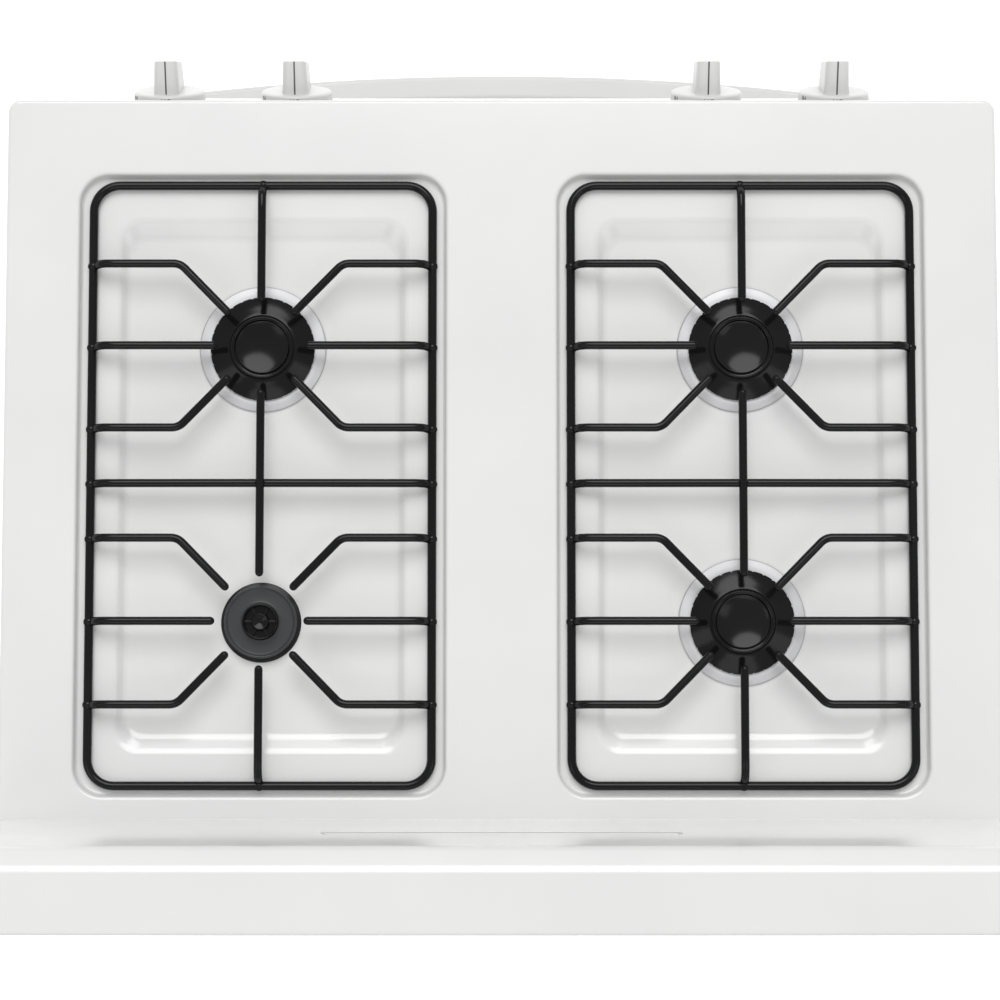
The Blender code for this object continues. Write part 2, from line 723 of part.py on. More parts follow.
def make_backguard():
    """A folded sheet across the back, closed at its ends and open below."""
    base = COOKTOP_HEIGHT - SKIRT
    rise = COOKTOP_HEIGHT + BACKGUARD_RISE
    slope_depth, slope_height = BACKGUARD_SLOPE
    outline = [
        (behind(COOKTOP_DEPTH), base),
        (behind(BODY_DEPTH), base),
        (behind(BODY_DEPTH), rise),
        (behind(COOKTOP_DEPTH + BACKGUARD_LEAN + slope_depth), rise),
        (behind(COOKTOP_DEPTH + BACKGUARD_LEAN), rise - slope_height),
        (behind(COOKTOP_DEPTH), COOKTOP_HEIGHT),
    ]
    made = place(
        "backguard", extruded("backguard", outline, 0, -WIDTH / 2, WIDTH / 2), "white_enamel"
    )
    hollow = inset(outline, SHEET)
    hollow[0] = (hollow[0][0], base - OVERCUT)
    hollow[1] = (hollow[1][0], base - OVERCUT)
    cut(made, extruded("backguard_hollow", hollow, 0, SHEET - WIDTH / 2, WIDTH / 2 - SHEET))
    half, height = VENT_SLOT
    slot_bottom = COOKTOP_HEIGHT + VENT_SLOT_RISE
    slot = box(
        "vent_slot",
        (-half, behind(COOKTOP_DEPTH - OVERCUT), slot_bottom),
        (half, behind(COOKTOP_DEPTH + BACKGUARD_LEAN), slot_bottom + height),
    )
    cut(made, slot)


def make_cooktop():
    """The enamelled top: a turned-down sheet with two stepped pans, each with two holes."""
    rim = COOKTOP_HEIGHT
    back = COOKTOP_DEPTH - GAP
    shape = bmesh.new()
    shape.from_mesh(box("blank", (-WIDTH / 2, FRONT, rim - SKIRT), (WIDTH / 2, behind(back), rim)))
    front_half = behind(COOKTOP_DEPTH / 2)
    round_edges(shape, CORNER_RADIUS, 3, lambda a, b: parallel_to(2)(a, b) and a.y < front_half)
    round_edges(
        shape, RIM_RADIUS, 2, lambda a, b: min(a.z, b.z) > rim - 1e-5 and min(a.y, b.y) < front_half
    )
    made = place("cooktop", mesh_from("cooktop", shape), "white_enamel")
    half = WIDTH / 2 - SHEET
    under = box(
        "cooktop_hollow",
        (-half, FRONT + SHEET, rim - SKIRT - OVERCUT),
        (half, behind(back - SHEET), rim - SHEET),
        CORNER_RADIUS - SHEET,
    )
    cut(made, under)
    for side in SIDES.values():
        for size, depth in ((PAN_SIZE, PAN_LEDGE), (WELL_SIZE, PAN_DEPTH)):
            join(made, pan_block("pan", side, size, SHEET, depth + SHEET, -SHEET / 2))
    for side in SIDES.values():
        for size, depth in ((PAN_SIZE, PAN_LEDGE), (WELL_SIZE, PAN_DEPTH)):
            cut(made, pan_block("pan_hollow", side, size, 0, depth, OVERCUT))
    floor = below(PAN_DEPTH)
    for row, side, centre in burner_places():
        spigot = SMALL_SPIGOT if is_small(row, side) else LARGE_SPIGOT
        radius = spigot + BURNER_HOLE_CLEARANCE
        cut(made, cylinder("burner_hole", radius, floor - OVERCUT, rim, 2, 20, centre))


def pan_block(name, side, size, grow, depth, rise):
    """A rounded block of a pan's size, from a depth below the rim to a rise above it."""
    x, y = side * PAN_X, behind(PAN_CENTRE)
    half_x, half_y = size[0] / 2 + grow, size[1] / 2 + grow
    return box(
        name,
        (x - half_x, y - half_y, below(depth)),
        (x + half_x, y + half_y, COOKTOP_HEIGHT + rise),
        PAN_CORNER + grow,
    )


# Burners and grates


# Profiles of the burners' pieces: radius, and height above the pan
LARGE_BURNER = {
    "base": [
        (0, LARGE_BASE[1]),
        (LARGE_BASE[0] - 0.0017, LARGE_BASE[1]),
        (LARGE_BASE[0], LARGE_BASE[1] - 0.0015),
        (LARGE_BASE[0], GAP),
        (LARGE_SPIGOT, GAP),
        (LARGE_SPIGOT, -BURNER_SPIGOT_DROP),
        (0, -BURNER_SPIGOT_DROP),
    ],
    "head": [
        (0, LARGE_WELL),
        (0.0207, LARGE_WELL),
        (0.0207, 0.0132),
        (0.0235, 0.0132),
        (0.0240, 0.0118),
        (0.0252, 0.0118),
        (0.0399, LARGE_BASE[1] + 0.0022),
        (0.0399, LARGE_BASE[1] + GAP),
        (0, LARGE_BASE[1] + GAP),
    ],
    "cap": [
        (0, 0.0116),
        (0.0150, 0.0120),
        (0.0202, 0.0136),
        (0.0202, LARGE_WELL + GAP),
        (0, LARGE_WELL + GAP),
    ],
}
SMALL_BURNER = {
    "base": [
        (0, SMALL_BASE[1]),
        (SMALL_BASE[0] - 0.0016, SMALL_BASE[1]),
        (SMALL_BASE[0], SMALL_BASE[1] - 0.0012),
        (SMALL_BASE[0], GAP),
        (SMALL_SPIGOT, GAP),
        (SMALL_SPIGOT, -BURNER_SPIGOT_DROP),
        (0, -BURNER_SPIGOT_DROP),
    ],
    "head": [
        (0, SMALL_WELL),
        (0.0140, SMALL_WELL),
        (0.0140, 0.0100),
        (0.0265, 0.0100),
        (0.0277, 0.0085),
        (0.0277, SMALL_BASE[1] + GAP),
        (0, SMALL_BASE[1] + GAP),
    ],
    "cap": [
        (0, 0.0136),
        (0.0065, 0.0136),
        (0.0065, 0.0106),
        (0.0116, 0.0106),
        (0.0118, 0.0142),
        (0.0136, 0.0142),
        (0.0136, SMALL_WELL + GAP),
        (0, SMALL_WELL + GAP),
    ],
}


def burner_places():
    """Each burner's row, side and place in plan."""
    return [
        (row, side, (sign * PAN_X, behind(y)))
        for row, y in BURNER_Y.items()
        for side, sign in SIDES.items()
    ]


def is_small(row, side):
    return (row, side) == ("rear", "right")


def make_burners():
    """A base in the pan, a head on it, and a cap that lifts off, on each burner's axis."""
    for row, side, (x, y) in burner_places():
        small = is_small(row, side)
        looks = {
            "base": "black_enamel" if small else "aluminium",
            "head": "grey_enamel" if small else "black_enamel",
            "cap": "black_enamel",
        }
        for piece, profile in (SMALL_BURNER if small else LARGE_BURNER).items():
            name = f"burner_{piece}_{row}_{side}"
            made = place(name, bpy.data.meshes.new(name), looks[piece])
            turned(made, profile, 24)
            made.location = (x, y, below(PAN_DEPTH))


def rounded_rectangle(size, radius, steps):
    """The points of a rectangle with round corners, about the origin."""
    points = []
    for quarter, (sx, sy) in enumerate(((1, 1), (-1, 1), (-1, -1), (1, -1))):
        for step in range(steps + 1):
            angle = math.pi / 2 * (quarter + step / steps)
            x = sx * (size[0] / 2 - radius) + radius * math.cos(angle)
            y = sy * (size[1] / 2 - radius) + radius * math.sin(angle)
            points.append((x, y))
    return points


def climb(outer, low, high):
    """The bend from the grate's frame up to a finger: (distance from the middle, height)."""
    return [(outer - inwards, low + share * (high - low)) for inwards, share in CLIMB]


def finger_paths():
    """The centre lines of a grate's bars, about its centre on the rim's plane."""
    half_x, half_y = GRATE_SIZE[0] / 2, GRATE_SIZE[1] / 2
    low, high = grate_frame_height(), FINGER_HEIGHT
    burner_rows = [y - PAN_CENTRE for y in BURNER_Y.values()]
    end = [(0, y, z) for y, z in climb(half_y, low, high)]
    paths = [
        [(0, -y, z) for _, y, z in end] + [(0, burner_rows[0] - FINGER_TIP, high)],
        [(0, burner_rows[0] + FINGER_TIP, high), (0, burner_rows[1] - FINGER_TIP, high)],
        end + [(0, burner_rows[1] + FINGER_TIP, high)],
    ]
    middle = sum(burner_rows) / 2
    rise = [(x, middle, z) for x, z in climb(half_x, low, CROSSBAR_HEIGHT)]
    paths.append([(-x, y, z) for x, y, z in rise] + rise[::-1])
    for burner in burner_rows:
        for side in SIDES.values():
            for row in (-1, 0, 1):
                y = burner + row * FINGER_ROW
                path = [(side * x, y, z) for x, z in climb(half_x, low, high)]
                if row:
                    path.append((side * FINGER_BEND, y, high))
                    reach = FINGER_TIP * math.sqrt(0.5)
                    path.append((side * reach, burner + row * reach, high))
                else:
                    path.append((side * FINGER_TIP, y, high))
                paths.append(path)
    return paths


def grate_frame_height():
    """Height of the frame's centre line: it rests on the pan's ledge."""
    return GRATE_ROD + GAP - PAN_LEDGE


def make_grates():
    """Two wire grates that share one mesh, each lifted out by itself."""
    outline = rounded_rectangle(GRATE_SIZE, GRATE_CORNER, 3)
    frame_points = [(x, y, grate_frame_height()) for x, y in outline]
    blank = place("grate_blank", rod("grate", frame_points, GRATE_ROD, True), "black_enamel")
    for index, path in enumerate(finger_paths()):
        join(blank, rod(f"finger_{index}", path, FINGER_ROD))
    mesh = baked(blank)
    for side, sign in SIDES.items():
        made = place(f"grate_{side}", mesh, "black_enamel")
        made.location = (sign * PAN_X, behind(PAN_CENTRE), COOKTOP_HEIGHT)


# Manifold panel, valves and knobs


def make_manifold_panel():
    """The slanted panel under the cooktop's front, open behind, with a hole for each stem."""
    back = BODY_FRONT - GAP
    outline = [
        (behind(panel_face(PANEL_BOTTOM)), below(PANEL_BOTTOM)),
        (behind(back), below(PANEL_BOTTOM)),
        (behind(back), below(PANEL_TOP)),
        (behind(panel_face(PANEL_TOP)), below(PANEL_TOP)),
    ]
    made = place(
        "manifold_panel", extruded("manifold_panel", outline, 0, -SIDE, SIDE), "white_enamel"
    )
    hollow = inset(outline, SHEET)
    hollow[1] = (behind(back + OVERCUT), hollow[1][1])
    hollow[2] = (behind(back + OVERCUT), hollow[2][1])
    cut(made, extruded("panel_hollow", hollow, 0, SHEET - SIDE, SIDE - SHEET))
    for axis in control_axes().values():
        hole = cylinder("stem_hole", STEM_RADIUS + STEM_HOLE_CLEARANCE, -OVERCUT, OVERCUT)
        hole.transform(axis)
        cut(made, hole)


def control_axis(x, depth):
    """The frame of a control: its origin on the panel's face, its Z out of it."""
    turn = Matrix.Rotation(math.pi / 2 - PANEL_SLANT, 4, "X")
    return Matrix.Translation((x, behind(panel_face(depth)), below(depth))) @ turn


def control_axes():
    axes = {name: control_axis(x, KNOB_BELOW) for name, x in zip(KNOB_NAMES, KNOB_X)}
    axes["oven"] = control_axis(0, OVEN_DIAL_BELOW)
    return axes


def pipe_centre():
    """The manifold's centre line, behind the burner knobs' axes."""
    return control_axis(0, KNOB_BELOW) @ Vector((0, 0, -MANIFOLD_BEHIND))


def pipe_height():
    return pipe_centre().z


def make_gas_manifold():
    """The pipe behind the panel, which turns back along the right side."""
    _, y, z = pipe_centre()
    end = behind(BODY_DEPTH - REGULATOR_FROM_BACK - REGULATOR_RADIUS - GAP)
    bend = MANIFOLD_BEND
    turn = [
        (PIPE_SIDE - bend + bend * math.sin(angle), y + bend - bend * math.cos(angle), z)
        for angle in (math.pi / 2 * step / 4 for step in range(5))
    ]
    path = [(KNOB_X[0] - MANIFOLD_END, y, z)] + turn + [(PIPE_SIDE, end, z)]
    place("gas_manifold", rod("gas_manifold", path, MANIFOLD_RADIUS, resolution=3), "zinc_steel")


def make_regulator():
    """The pressure regulator at the pipe's rear end, with its inlet in the rear panel's hole."""
    y = behind(BODY_DEPTH - REGULATOR_FROM_BACK)
    z = pipe_height()
    low, high = (z + end for end in REGULATOR_SPAN)
    body = cylinder("pressure_regulator", REGULATOR_RADIUS, low, high, 2, 16, (PIPE_SIDE, y))
    made = place("pressure_regulator", body, "zinc_steel")
    inlet = cylinder("inlet", INLET_RADIUS, y, behind(BODY_DEPTH - GAP), 1, 12, (PIPE_SIDE, z))
    join(made, inlet)


def make_valves():
    """A valve on the manifold behind each burner knob, and the oven's thermostat."""
    rear = VALVE_FRONT + VALVE_LENGTH
    neck = MANIFOLD_BEHIND - MANIFOLD_RADIUS - GAP
    bore = STEM_RADIUS + RUNNING
    bore_end = VALVE_FRONT + STEM_IN_VALVE
    profile = [
        (0, -bore_end),
        (bore, -bore_end),
        (bore, -VALVE_FRONT),
        (VALVE_RADIUS, -VALVE_FRONT),
        (VALVE_RADIUS, -rear),
        (VALVE_NECK[0], -rear),
        (VALVE_NECK[0], -neck),
        (0, -neck),
    ]
    for name, axis in control_axes().items():
        node = "oven_thermostat" if name == "oven" else f"valve_{name}"
        made = place(node, bpy.data.meshes.new(node), "brass")
        turned(made, profile, 16)
        made.matrix_world = axis


def make_stems():
    """A turning stem in each valve, through the panel and into its knob."""
    for name, axis in control_axes().items():
        node = f"stem_{name}"
        start = STEM_END_SPACE - VALVE_FRONT - STEM_IN_VALVE
        reach = KNOB_STANDOFF + (OVEN_DIAL_RISE / 2 if name == "oven" else STEM_IN_KNOB)
        mesh = cylinder(node, STEM_RADIUS, start, reach, segments=12)
        place(node, mesh, "zinc_steel").matrix_world = axis


def make_knobs():
    """Four knobs that share one mesh: a round skirt with a grip across it and a blind bore."""
    foot, top = KNOB_STANDOFF, KNOB_STANDOFF + KNOB_SKIRT
    skirt = [
        (0, top),
        (KNOB_RADIUS - 0.004, top),
        (KNOB_RADIUS - 0.001, top - 0.0012),
        (KNOB_RADIUS, top - 0.004),
        (KNOB_RADIUS, foot),
        (0, foot),
    ]
    blank = place("knob_blank", bpy.data.meshes.new("knob"), "white_plastic")
    turned(blank, skirt, 32)
    width, length, rise = KNOB_GRIP
    shape = bmesh.new()
    shape.from_mesh(
        box(
            "grip",
            (-width / 2, -length / 2, top - 0.003),
            (width / 2, length / 2, top + rise),
            0.009,
            2,
        )
    )
    for vert in shape.verts:
        if vert.co.z > top:
            vert.co.z += vert.co.y * KNOB_GRIP_TILT / length
            vert.co.x *= KNOB_GRIP_TAPER[0]
            vert.co.y *= KNOB_GRIP_TAPER[1]
    join(blank, mesh_from("grip", shape))
    bore = KNOB_STANDOFF + STEM_IN_KNOB + KNOB_PUSH + STEM_END_SPACE
    cut(blank, cylinder("stem_bore", STEM_RADIUS + RUNNING, foot - OVERCUT, bore, segments=12))
    mesh = baked(blank)
    for name, axis in control_axes().items():
        if name != "oven":
            place(f"knob_{name}", mesh, "white_plastic").matrix_world = axis


def make_oven_dial():
    """The low oven dial in the middle of the panel."""
    foot, top = KNOB_STANDOFF, KNOB_STANDOFF + OVEN_DIAL_RISE
    bore_top = KNOB_STANDOFF + OVEN_DIAL_RISE / 2 + GAP
    bore = STEM_RADIUS + RUNNING
    profile = [
        (0, top),
        (OVEN_DIAL_RADIUS - OVEN_DIAL_BEVEL, top),
        (OVEN_DIAL_RADIUS, top - OVEN_DIAL_BEVEL),
        (OVEN_DIAL_RADIUS, foot),
        (bore, foot),
        (bore, bore_top),
        (0, bore_top),
    ]
    made = place("oven_dial", bpy.data.meshes.new("oven_dial"), "white_plastic")
    turned(made, profile, 24)
    made.matrix_world = control_axes()["oven"]


# Door


def make_door():
    """Outer shell, inner liner, window and handle, carried on the hinge line."""
    hinge = pivot("door_hinge", (0, behind(HINGE_BEHIND), HINGE_HEIGHT))
    carry(hinge, make_door_panel(), make_door_liner(), make_door_window(), make_door_handle())


def window_block(name, grow, low_y, high_y, radius):
    side, lower, upper = WINDOW_MARGINS
    half = SIDE - side + grow
    low = (-half, behind(low_y), DOOR_BOTTOM + lower - grow)
    high = (half, behind(high_y), DOOR_TOP - upper + grow)
    return box(name, low, high, radius, 1)


def hinge_slots(name, top):
    """Slots that the fixed hinge arms pass through as the door turns round them."""
    half = HINGE_ARM[0] / 2 + HINGE_SLOT[0]
    return [
        box(
            name,
            (sign * HINGE_X - half, behind(HINGE_BEHIND - hinge_slot_reach()), DOOR_BOTTOM - OVERCUT),
            (sign * HINGE_X + half, behind(BODY_FRONT + OVERCUT), top),
        )
        for sign in SIDES.values()
    ]


def hinge_slot_reach():
    return HINGE_ARM[1] / 2 + HINGE_SLOT[1]


def front_rounded(name, low, high, radius):
    """A box whose edges round its front face are rounded."""
    shape = bmesh.new()
    shape.from_mesh(box(name, low, high))
    round_edges(shape, radius, 2, lambda a, b: max(a.y, b.y) < low[1] + 1e-5)
    return mesh_from(name, shape)


def front_shell(name, bottom, top):
    """An enamelled pan across the range's front, open at the back."""
    low = (-SIDE, behind(DOOR_FACE), bottom)
    high = (SIDE, behind(DOOR_FACE + DOOR_SHELL), top)
    made = place(name, front_rounded(name, low, high, DOOR_EDGE_RADIUS), "white_enamel")
    hollow_low = [value + SHEET for value in low]
    hollow_high = (high[0] - SHEET, high[1] + OVERCUT, high[2] - SHEET)
    inner_radius = DOOR_EDGE_RADIUS - SHEET
    cut(made, front_rounded(f"{name}_hollow", hollow_low, hollow_high, inner_radius))
    return made


def make_door_panel():
    """The enamelled outer skin, with the window's opening."""
    made = front_shell("door_panel", DOOR_BOTTOM, DOOR_TOP)
    cut(
        made,
        window_block("window_opening", 0, DOOR_FACE - OVERCUT, DOOR_FACE + OVERCUT, WINDOW_CORNER),
    )
    cut(made, *hinge_slots("panel_slot", HINGE_HEIGHT))
    return made


def make_door_liner():
    """The inner skin: a shallow pan that faces the oven, with a window opening."""
    front = DOOR_FACE + DOOR_SHELL + GAP
    back = front + DOOR_LINER
    side = SIDE - LINER_INSET
    low = (-side, behind(front), DOOR_BOTTOM + LINER_INSET)
    high = (side, behind(back), DOOR_TOP - LINER_INSET)
    made = place("door_liner", box("door_liner", low, high), "grey_enamel")
    hollow_low = (low[0] + SHEET, low[1] - OVERCUT, low[2] + SHEET)
    hollow_high = (high[0] - SHEET, high[1] - SHEET, high[2] - SHEET)
    cut(made, box("liner_hollow", hollow_low, hollow_high))
    opening = window_block(
        "liner_window", -WINDOW_LIP, front - OVERCUT, back + OVERCUT, WINDOW_CORNER
    )
    cut(made, opening)
    cut(made, *hinge_slots("liner_slot", HINGE_HEIGHT + hinge_slot_reach()))
    return made


def make_door_window():
    """The outer pane, behind the skin's opening."""
    front = DOOR_FACE + SHEET + GAP
    pane = window_block("door_window", WINDOW_LIP, front, front + GLASS, WINDOW_CORNER)
    return place("door_window", pane, "dark_glass")


def make_door_handle():
    """A bowed bar across the door, on a post near each end."""
    centre = -HANDLE_REACH + HANDLE_RADIUS
    z = below(HANDLE_BELOW)
    steps = 12
    bow = []
    for step in range(-steps, steps + 1):
        x = HANDLE_HALF * step / steps
        bow.append((x, behind(centre + HANDLE_SAG * (step / steps) ** 2), z))
    bar = rod("door_handle", bow, HANDLE_RADIUS, resolution=3)
    made = place("door_handle", bar, "white_plastic")
    post_x = HANDLE_HALF - HANDLE_POST_INSET
    post_y = behind(centre + HANDLE_SAG * (post_x / HANDLE_HALF) ** 2)
    for side in SIDES.values():
        post = cylinder(
            "post", HANDLE_POST, post_y, behind(DOOR_FACE - GAP), 1, 12, (side * post_x, z)
        )
        join(made, post)
    return made


def make_hinge_arms():
    """Flat arms fixed to the frame, each ending in the pin that the door turns on."""
    thick, tall = HINGE_ARM
    for side, sign in SIDES.items():
        low, high = mirrored(HINGE_X - thick / 2, HINGE_X + thick / 2, sign)
        name = f"hinge_arm_{side}"
        arm = box(
            name,
            (low, behind(HINGE_BEHIND), HINGE_HEIGHT - tall / 2),
            (high, behind(FRAME_FRONT - GAP), HINGE_HEIGHT + tall / 2),
        )
        made = place(name, arm, "zinc_steel")
        centre = (behind(HINGE_BEHIND), HINGE_HEIGHT)
        eye = cylinder(f"{name}_eye", tall / 2, low - EYE_LAP, high + EYE_LAP, 0, 16, centre)
        pin_low, pin_high = low - HINGE_PIN_REACH, high + HINGE_PIN_REACH
        pin = cylinder(f"{name}_pin", HINGE_PIN, pin_low, pin_high, 0, 12, centre)
        join(made, eye, pin)


# Drawer and racks


def make_drawer():
    """The broiler drawer: a front, a tray and a pan, carried on its slide."""
    slide = pivot("drawer_slide", (0, behind(DOOR_FACE), TRAY_BOTTOM))
    front = front_shell("drawer_front", DRAWER_BOTTOM, DRAWER_TOP)
    carry(slide, front, make_drawer_tray(), make_broiler_pan())


def open_tray(name, low, high, look):
    """A sheet tray, open at the top."""
    made = place(name, box(name, low, high), look)
    hollow_low = [value + SHEET for value in low]
    hollow_high = (high[0] - SHEET, high[1] - SHEET, high[2] + OVERCUT)
    cut(made, box(f"{name}_hollow", hollow_low, hollow_high))
    return made


def make_drawer_tray():
    """The tray starts against the front's skin and runs back through the frame."""
    low = (-TRAY_HALF_WIDTH, behind(DOOR_FACE + SHEET + GAP), TRAY_BOTTOM)
    high = (TRAY_HALF_WIDTH, behind(TRAY_BACK), TRAY_BOTTOM + TRAY_WALL)
    return open_tray("drawer_tray", low, high, "zinc_steel")


def make_broiler_pan():
    width, length, height = BROILER_PAN
    bottom = TRAY_BOTTOM + SHEET + GAP
    low = (-width / 2, behind(BROILER_PAN_FRONT), bottom)
    high = (width / 2, behind(BROILER_PAN_FRONT + length), bottom + height)
    return open_tray("broiler_pan", low, high, "black_enamel")


def make_drawer_rails():
    """Rails on the base pan: the tray's bottom slides on a seat, beside a guide."""
    leg = TRAY_HALF_WIDTH + SLIDING
    bottom = BODY_BOTTOM + BASE_WALL + GAP
    seat = TRAY_BOTTOM - GAP
    outer = SIDE - FLANGE - GAP
    outline = [
        (leg, bottom),
        (outer, bottom),
        (outer, bottom + RAIL_WALL),
        (leg + RAIL_WALL, bottom + RAIL_WALL),
        (leg + RAIL_WALL, seat + RAIL_GUIDE),
        (leg, seat + RAIL_GUIDE),
        (leg, seat),
        (leg - RAIL_SEAT, seat),
        (leg - RAIL_SEAT, seat - RAIL_WALL),
        (leg, seat - RAIL_WALL),
    ]
    low, high = behind(FRAME_BACK + RAIL_MARGINS[0]), behind(TRAY_BACK + RAIL_MARGINS[1])
    for side, sign in SIDES.items():
        name = f"drawer_rail_{side}"
        points = [(sign * x, z) for x, z in outline]
        place(name, extruded(name, points, 1, low, high), "zinc_steel")


def make_racks():
    """Two wire racks on the liner's ledges."""
    half = OVEN_HALF_WIDTH - SLIDING
    front, back = behind(FRAME_BACK + RACK_MARGINS[0]), behind(OVEN_BACK - RACK_MARGINS[1])
    edge = RACK_THICK
    pitch = (2 * half - edge) / RACK_BARS
    row = (back - front - edge) / RACK_ROWS
    for place_name, level in RACK_LEVELS.items():
        name = f"oven_rack_{place_name}"
        bottom = ledge_top(level) + GAP
        top = bottom + RACK_THICK
        made = place(name, box(name, (-half, front, bottom), (half, back, top)), "chrome")
        first = box(
            f"{name}_gap",
            (edge - half, front + edge, bottom - OVERCUT),
            (pitch - half, front + row, top + OVERCUT),
        )
        cut(made, first)
        gaps = made.modifiers[-1].object
        for count, offset in ((RACK_BARS, (pitch, 0, 0)), (RACK_ROWS, (0, row, 0))):
            repeat = gaps.modifiers.new("repeat", "ARRAY")
            repeat.count = count
            repeat.use_relative_offset = False
            repeat.use_constant_offset = True
            repeat.constant_offset_displace = offset
        slide = pivot(f"rack_slide_{place_name}", (0, front, bottom))
        carry(slide, made)


clear_scene()
range_parts = new_collection("gas_range")
cutters = new_collection("cutters")
for side_name, side_sign in SIDES.items():
    make_side_panel(f"side_panel_{side_name}", side_sign)
make_rear_panel()
make_base_pan()
make_feet()
make_front_frame()
make_oven_liner()
make_oven_floor()
make_oven_burner()
make_flue_duct()
make_backguard()
make_cooktop()
make_burners()
make_grates()
make_manifold_panel()
make_gas_manifold()
make_regulator()
make_valves()
make_stems()
make_knobs()
make_oven_dial()
make_door()
make_hinge_arms()
make_drawer()
make_drawer_rails()
make_racks()
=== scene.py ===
import json
import math

import bmesh
import bpy
from mathutils import Matrix, Vector


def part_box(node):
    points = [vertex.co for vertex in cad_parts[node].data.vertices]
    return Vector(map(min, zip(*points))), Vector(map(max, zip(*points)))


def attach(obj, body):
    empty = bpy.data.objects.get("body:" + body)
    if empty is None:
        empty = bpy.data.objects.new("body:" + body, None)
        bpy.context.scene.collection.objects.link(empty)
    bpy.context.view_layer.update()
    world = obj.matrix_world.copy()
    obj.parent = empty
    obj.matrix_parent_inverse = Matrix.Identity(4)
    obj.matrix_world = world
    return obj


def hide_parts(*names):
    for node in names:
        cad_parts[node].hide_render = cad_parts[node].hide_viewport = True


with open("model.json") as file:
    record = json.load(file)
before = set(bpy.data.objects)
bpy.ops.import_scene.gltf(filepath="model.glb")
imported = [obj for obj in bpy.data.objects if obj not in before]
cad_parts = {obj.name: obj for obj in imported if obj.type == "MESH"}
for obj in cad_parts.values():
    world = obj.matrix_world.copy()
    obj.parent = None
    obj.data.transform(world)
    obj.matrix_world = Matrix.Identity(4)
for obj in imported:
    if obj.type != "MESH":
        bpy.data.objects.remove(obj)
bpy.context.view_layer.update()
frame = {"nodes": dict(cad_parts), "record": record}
sides = {"left": -1, "right": 1}
print("frame loaded,", len(frame["nodes"]), "nodes")

# Places that every piece is set out from
cooktopLow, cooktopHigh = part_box("cooktop")
front = cooktopLow.y
rim = cooktopHigh.z
halfWidth = cooktopHigh.x


def behind(distance):  # Y of a plane this far behind the cooktop's front edge
    return front + distance


# ---- camera, floor and light

view = {
    "stand": (0.0012, 0.2538, 2.914),
    "aim": (0.0012, 0.0869, 0.914),
    "lens": 95.31,
    "shiftUp": 0.08,
    "floorTone": 0.90,
    "floorGlow": 0.60,
    "skyTone": (1.0, 1.0, 1.0),
    "skyStrength": 0.52,
    "suns": {  # place and strength
        "frontSun": ((0.0, -5.2, 8.3), 1.50),
        "rearSun": ((0.0, 7.0, 7.5), 0.40),
    },
    "sunAngle": math.radians(38),
}
lamps = [  # place, aim, width, depth, watts
    ((-2.2, 0.9, 3.4), (0.0, 0.0, 0.9), 0.9, 2.2, 7),
    ((2.2, 0.9, 3.4), (0.0, 0.0, 0.9), 0.9, 2.2, 7),
]


def aimAt(thing, place, target):
    thing.location = place
    thing.rotation_euler = (Vector(target) - Vector(place)).to_track_quat("-Z", "Y").to_euler()


def setStage():
    scene = bpy.context.scene
    scene.view_settings.view_transform = "Standard"
    camera = bpy.data.objects.new("camera", bpy.data.cameras.new("camera"))
    scene.collection.objects.link(camera)
    camera.data.lens = view["lens"]
    camera.data.shift_y = view["shiftUp"]
    camera.data.clip_end = 50
    aimAt(camera, view["stand"], view["aim"])
    scene.camera = camera
    for index, (place, target, width, depth, watts) in enumerate(lamps):
        light = bpy.data.lights.new(f"lamp{index}", "AREA")
        light.shape = "RECTANGLE"
        light.size = width
        light.size_y = depth
        light.energy = watts
        lamp = bpy.data.objects.new(light.name, light)
        scene.collection.objects.link(lamp)
        aimAt(lamp, place, target)
    for name, (place, strength) in view["suns"].items():
        light = bpy.data.lights.new(name, "SUN")
        light.angle = view["sunAngle"]
        light.energy = strength
        sun = bpy.data.objects.new(name, light)
        scene.collection.objects.link(sun)
        aimAt(sun, place, (0, 0, 0.9))
    world = bpy.data.worlds.new("studio")
    world.use_nodes = True
    sky = world.node_tree.nodes["Background"]
    sky.inputs["Color"].default_value = (*view["skyTone"], 1)
    sky.inputs["Strength"].default_value = view["skyStrength"]
    scene.world = world
    deselectAll()
    bpy.ops.mesh.primitive_plane_add(size=14, location=(0, 0, 0))
    floor = bpy.context.active_object
    floor.name = "floor"
    paper = bpy.data.materials.new("paper")
    paper.use_nodes = True
    shader = paper.node_tree.nodes["Principled BSDF"]
    shader.inputs["Base Color"].default_value = (*[view["floorTone"]] * 3, 1)
    shader.inputs["Roughness"].default_value = 0.9
    shader.inputs["Emission Color"].default_value = (1, 1, 1, 1)
    shader.inputs["Emission Strength"].default_value = view["floorGlow"]
    floor.data.materials.append(paper)


# ---- tools for shaping


def deselectAll():
    if bpy.context.mode != "OBJECT":
        bpy.ops.object.mode_set(mode="OBJECT")
    bpy.ops.object.select_all(action="DESELECT")


def activate(piece):
    deselectAll()
    piece.select_set(True)
    bpy.context.view_layer.objects.active = piece


def startEdit(piece):
    activate(piece)
    bpy.ops.object.mode_set(mode="EDIT")
    bpy.ops.mesh.select_all(action="SELECT")


def endEdit():
    bpy.ops.object.mode_set(mode="OBJECT")


def applyPlace(piece):
    activate(piece)
    bpy.ops.object.transform_apply(location=True, rotation=True, scale=True)


def addBox(name, low, high):
    deselectAll()
    middle = [(a + b) / 2 for a, b in zip(low, high)]
    bpy.ops.mesh.primitive_cube_add(size=1, location=middle, scale=[b - a for a, b in zip(low, high)])
    piece = bpy.context.active_object
    piece.name = name
    applyPlace(piece)
    return piece


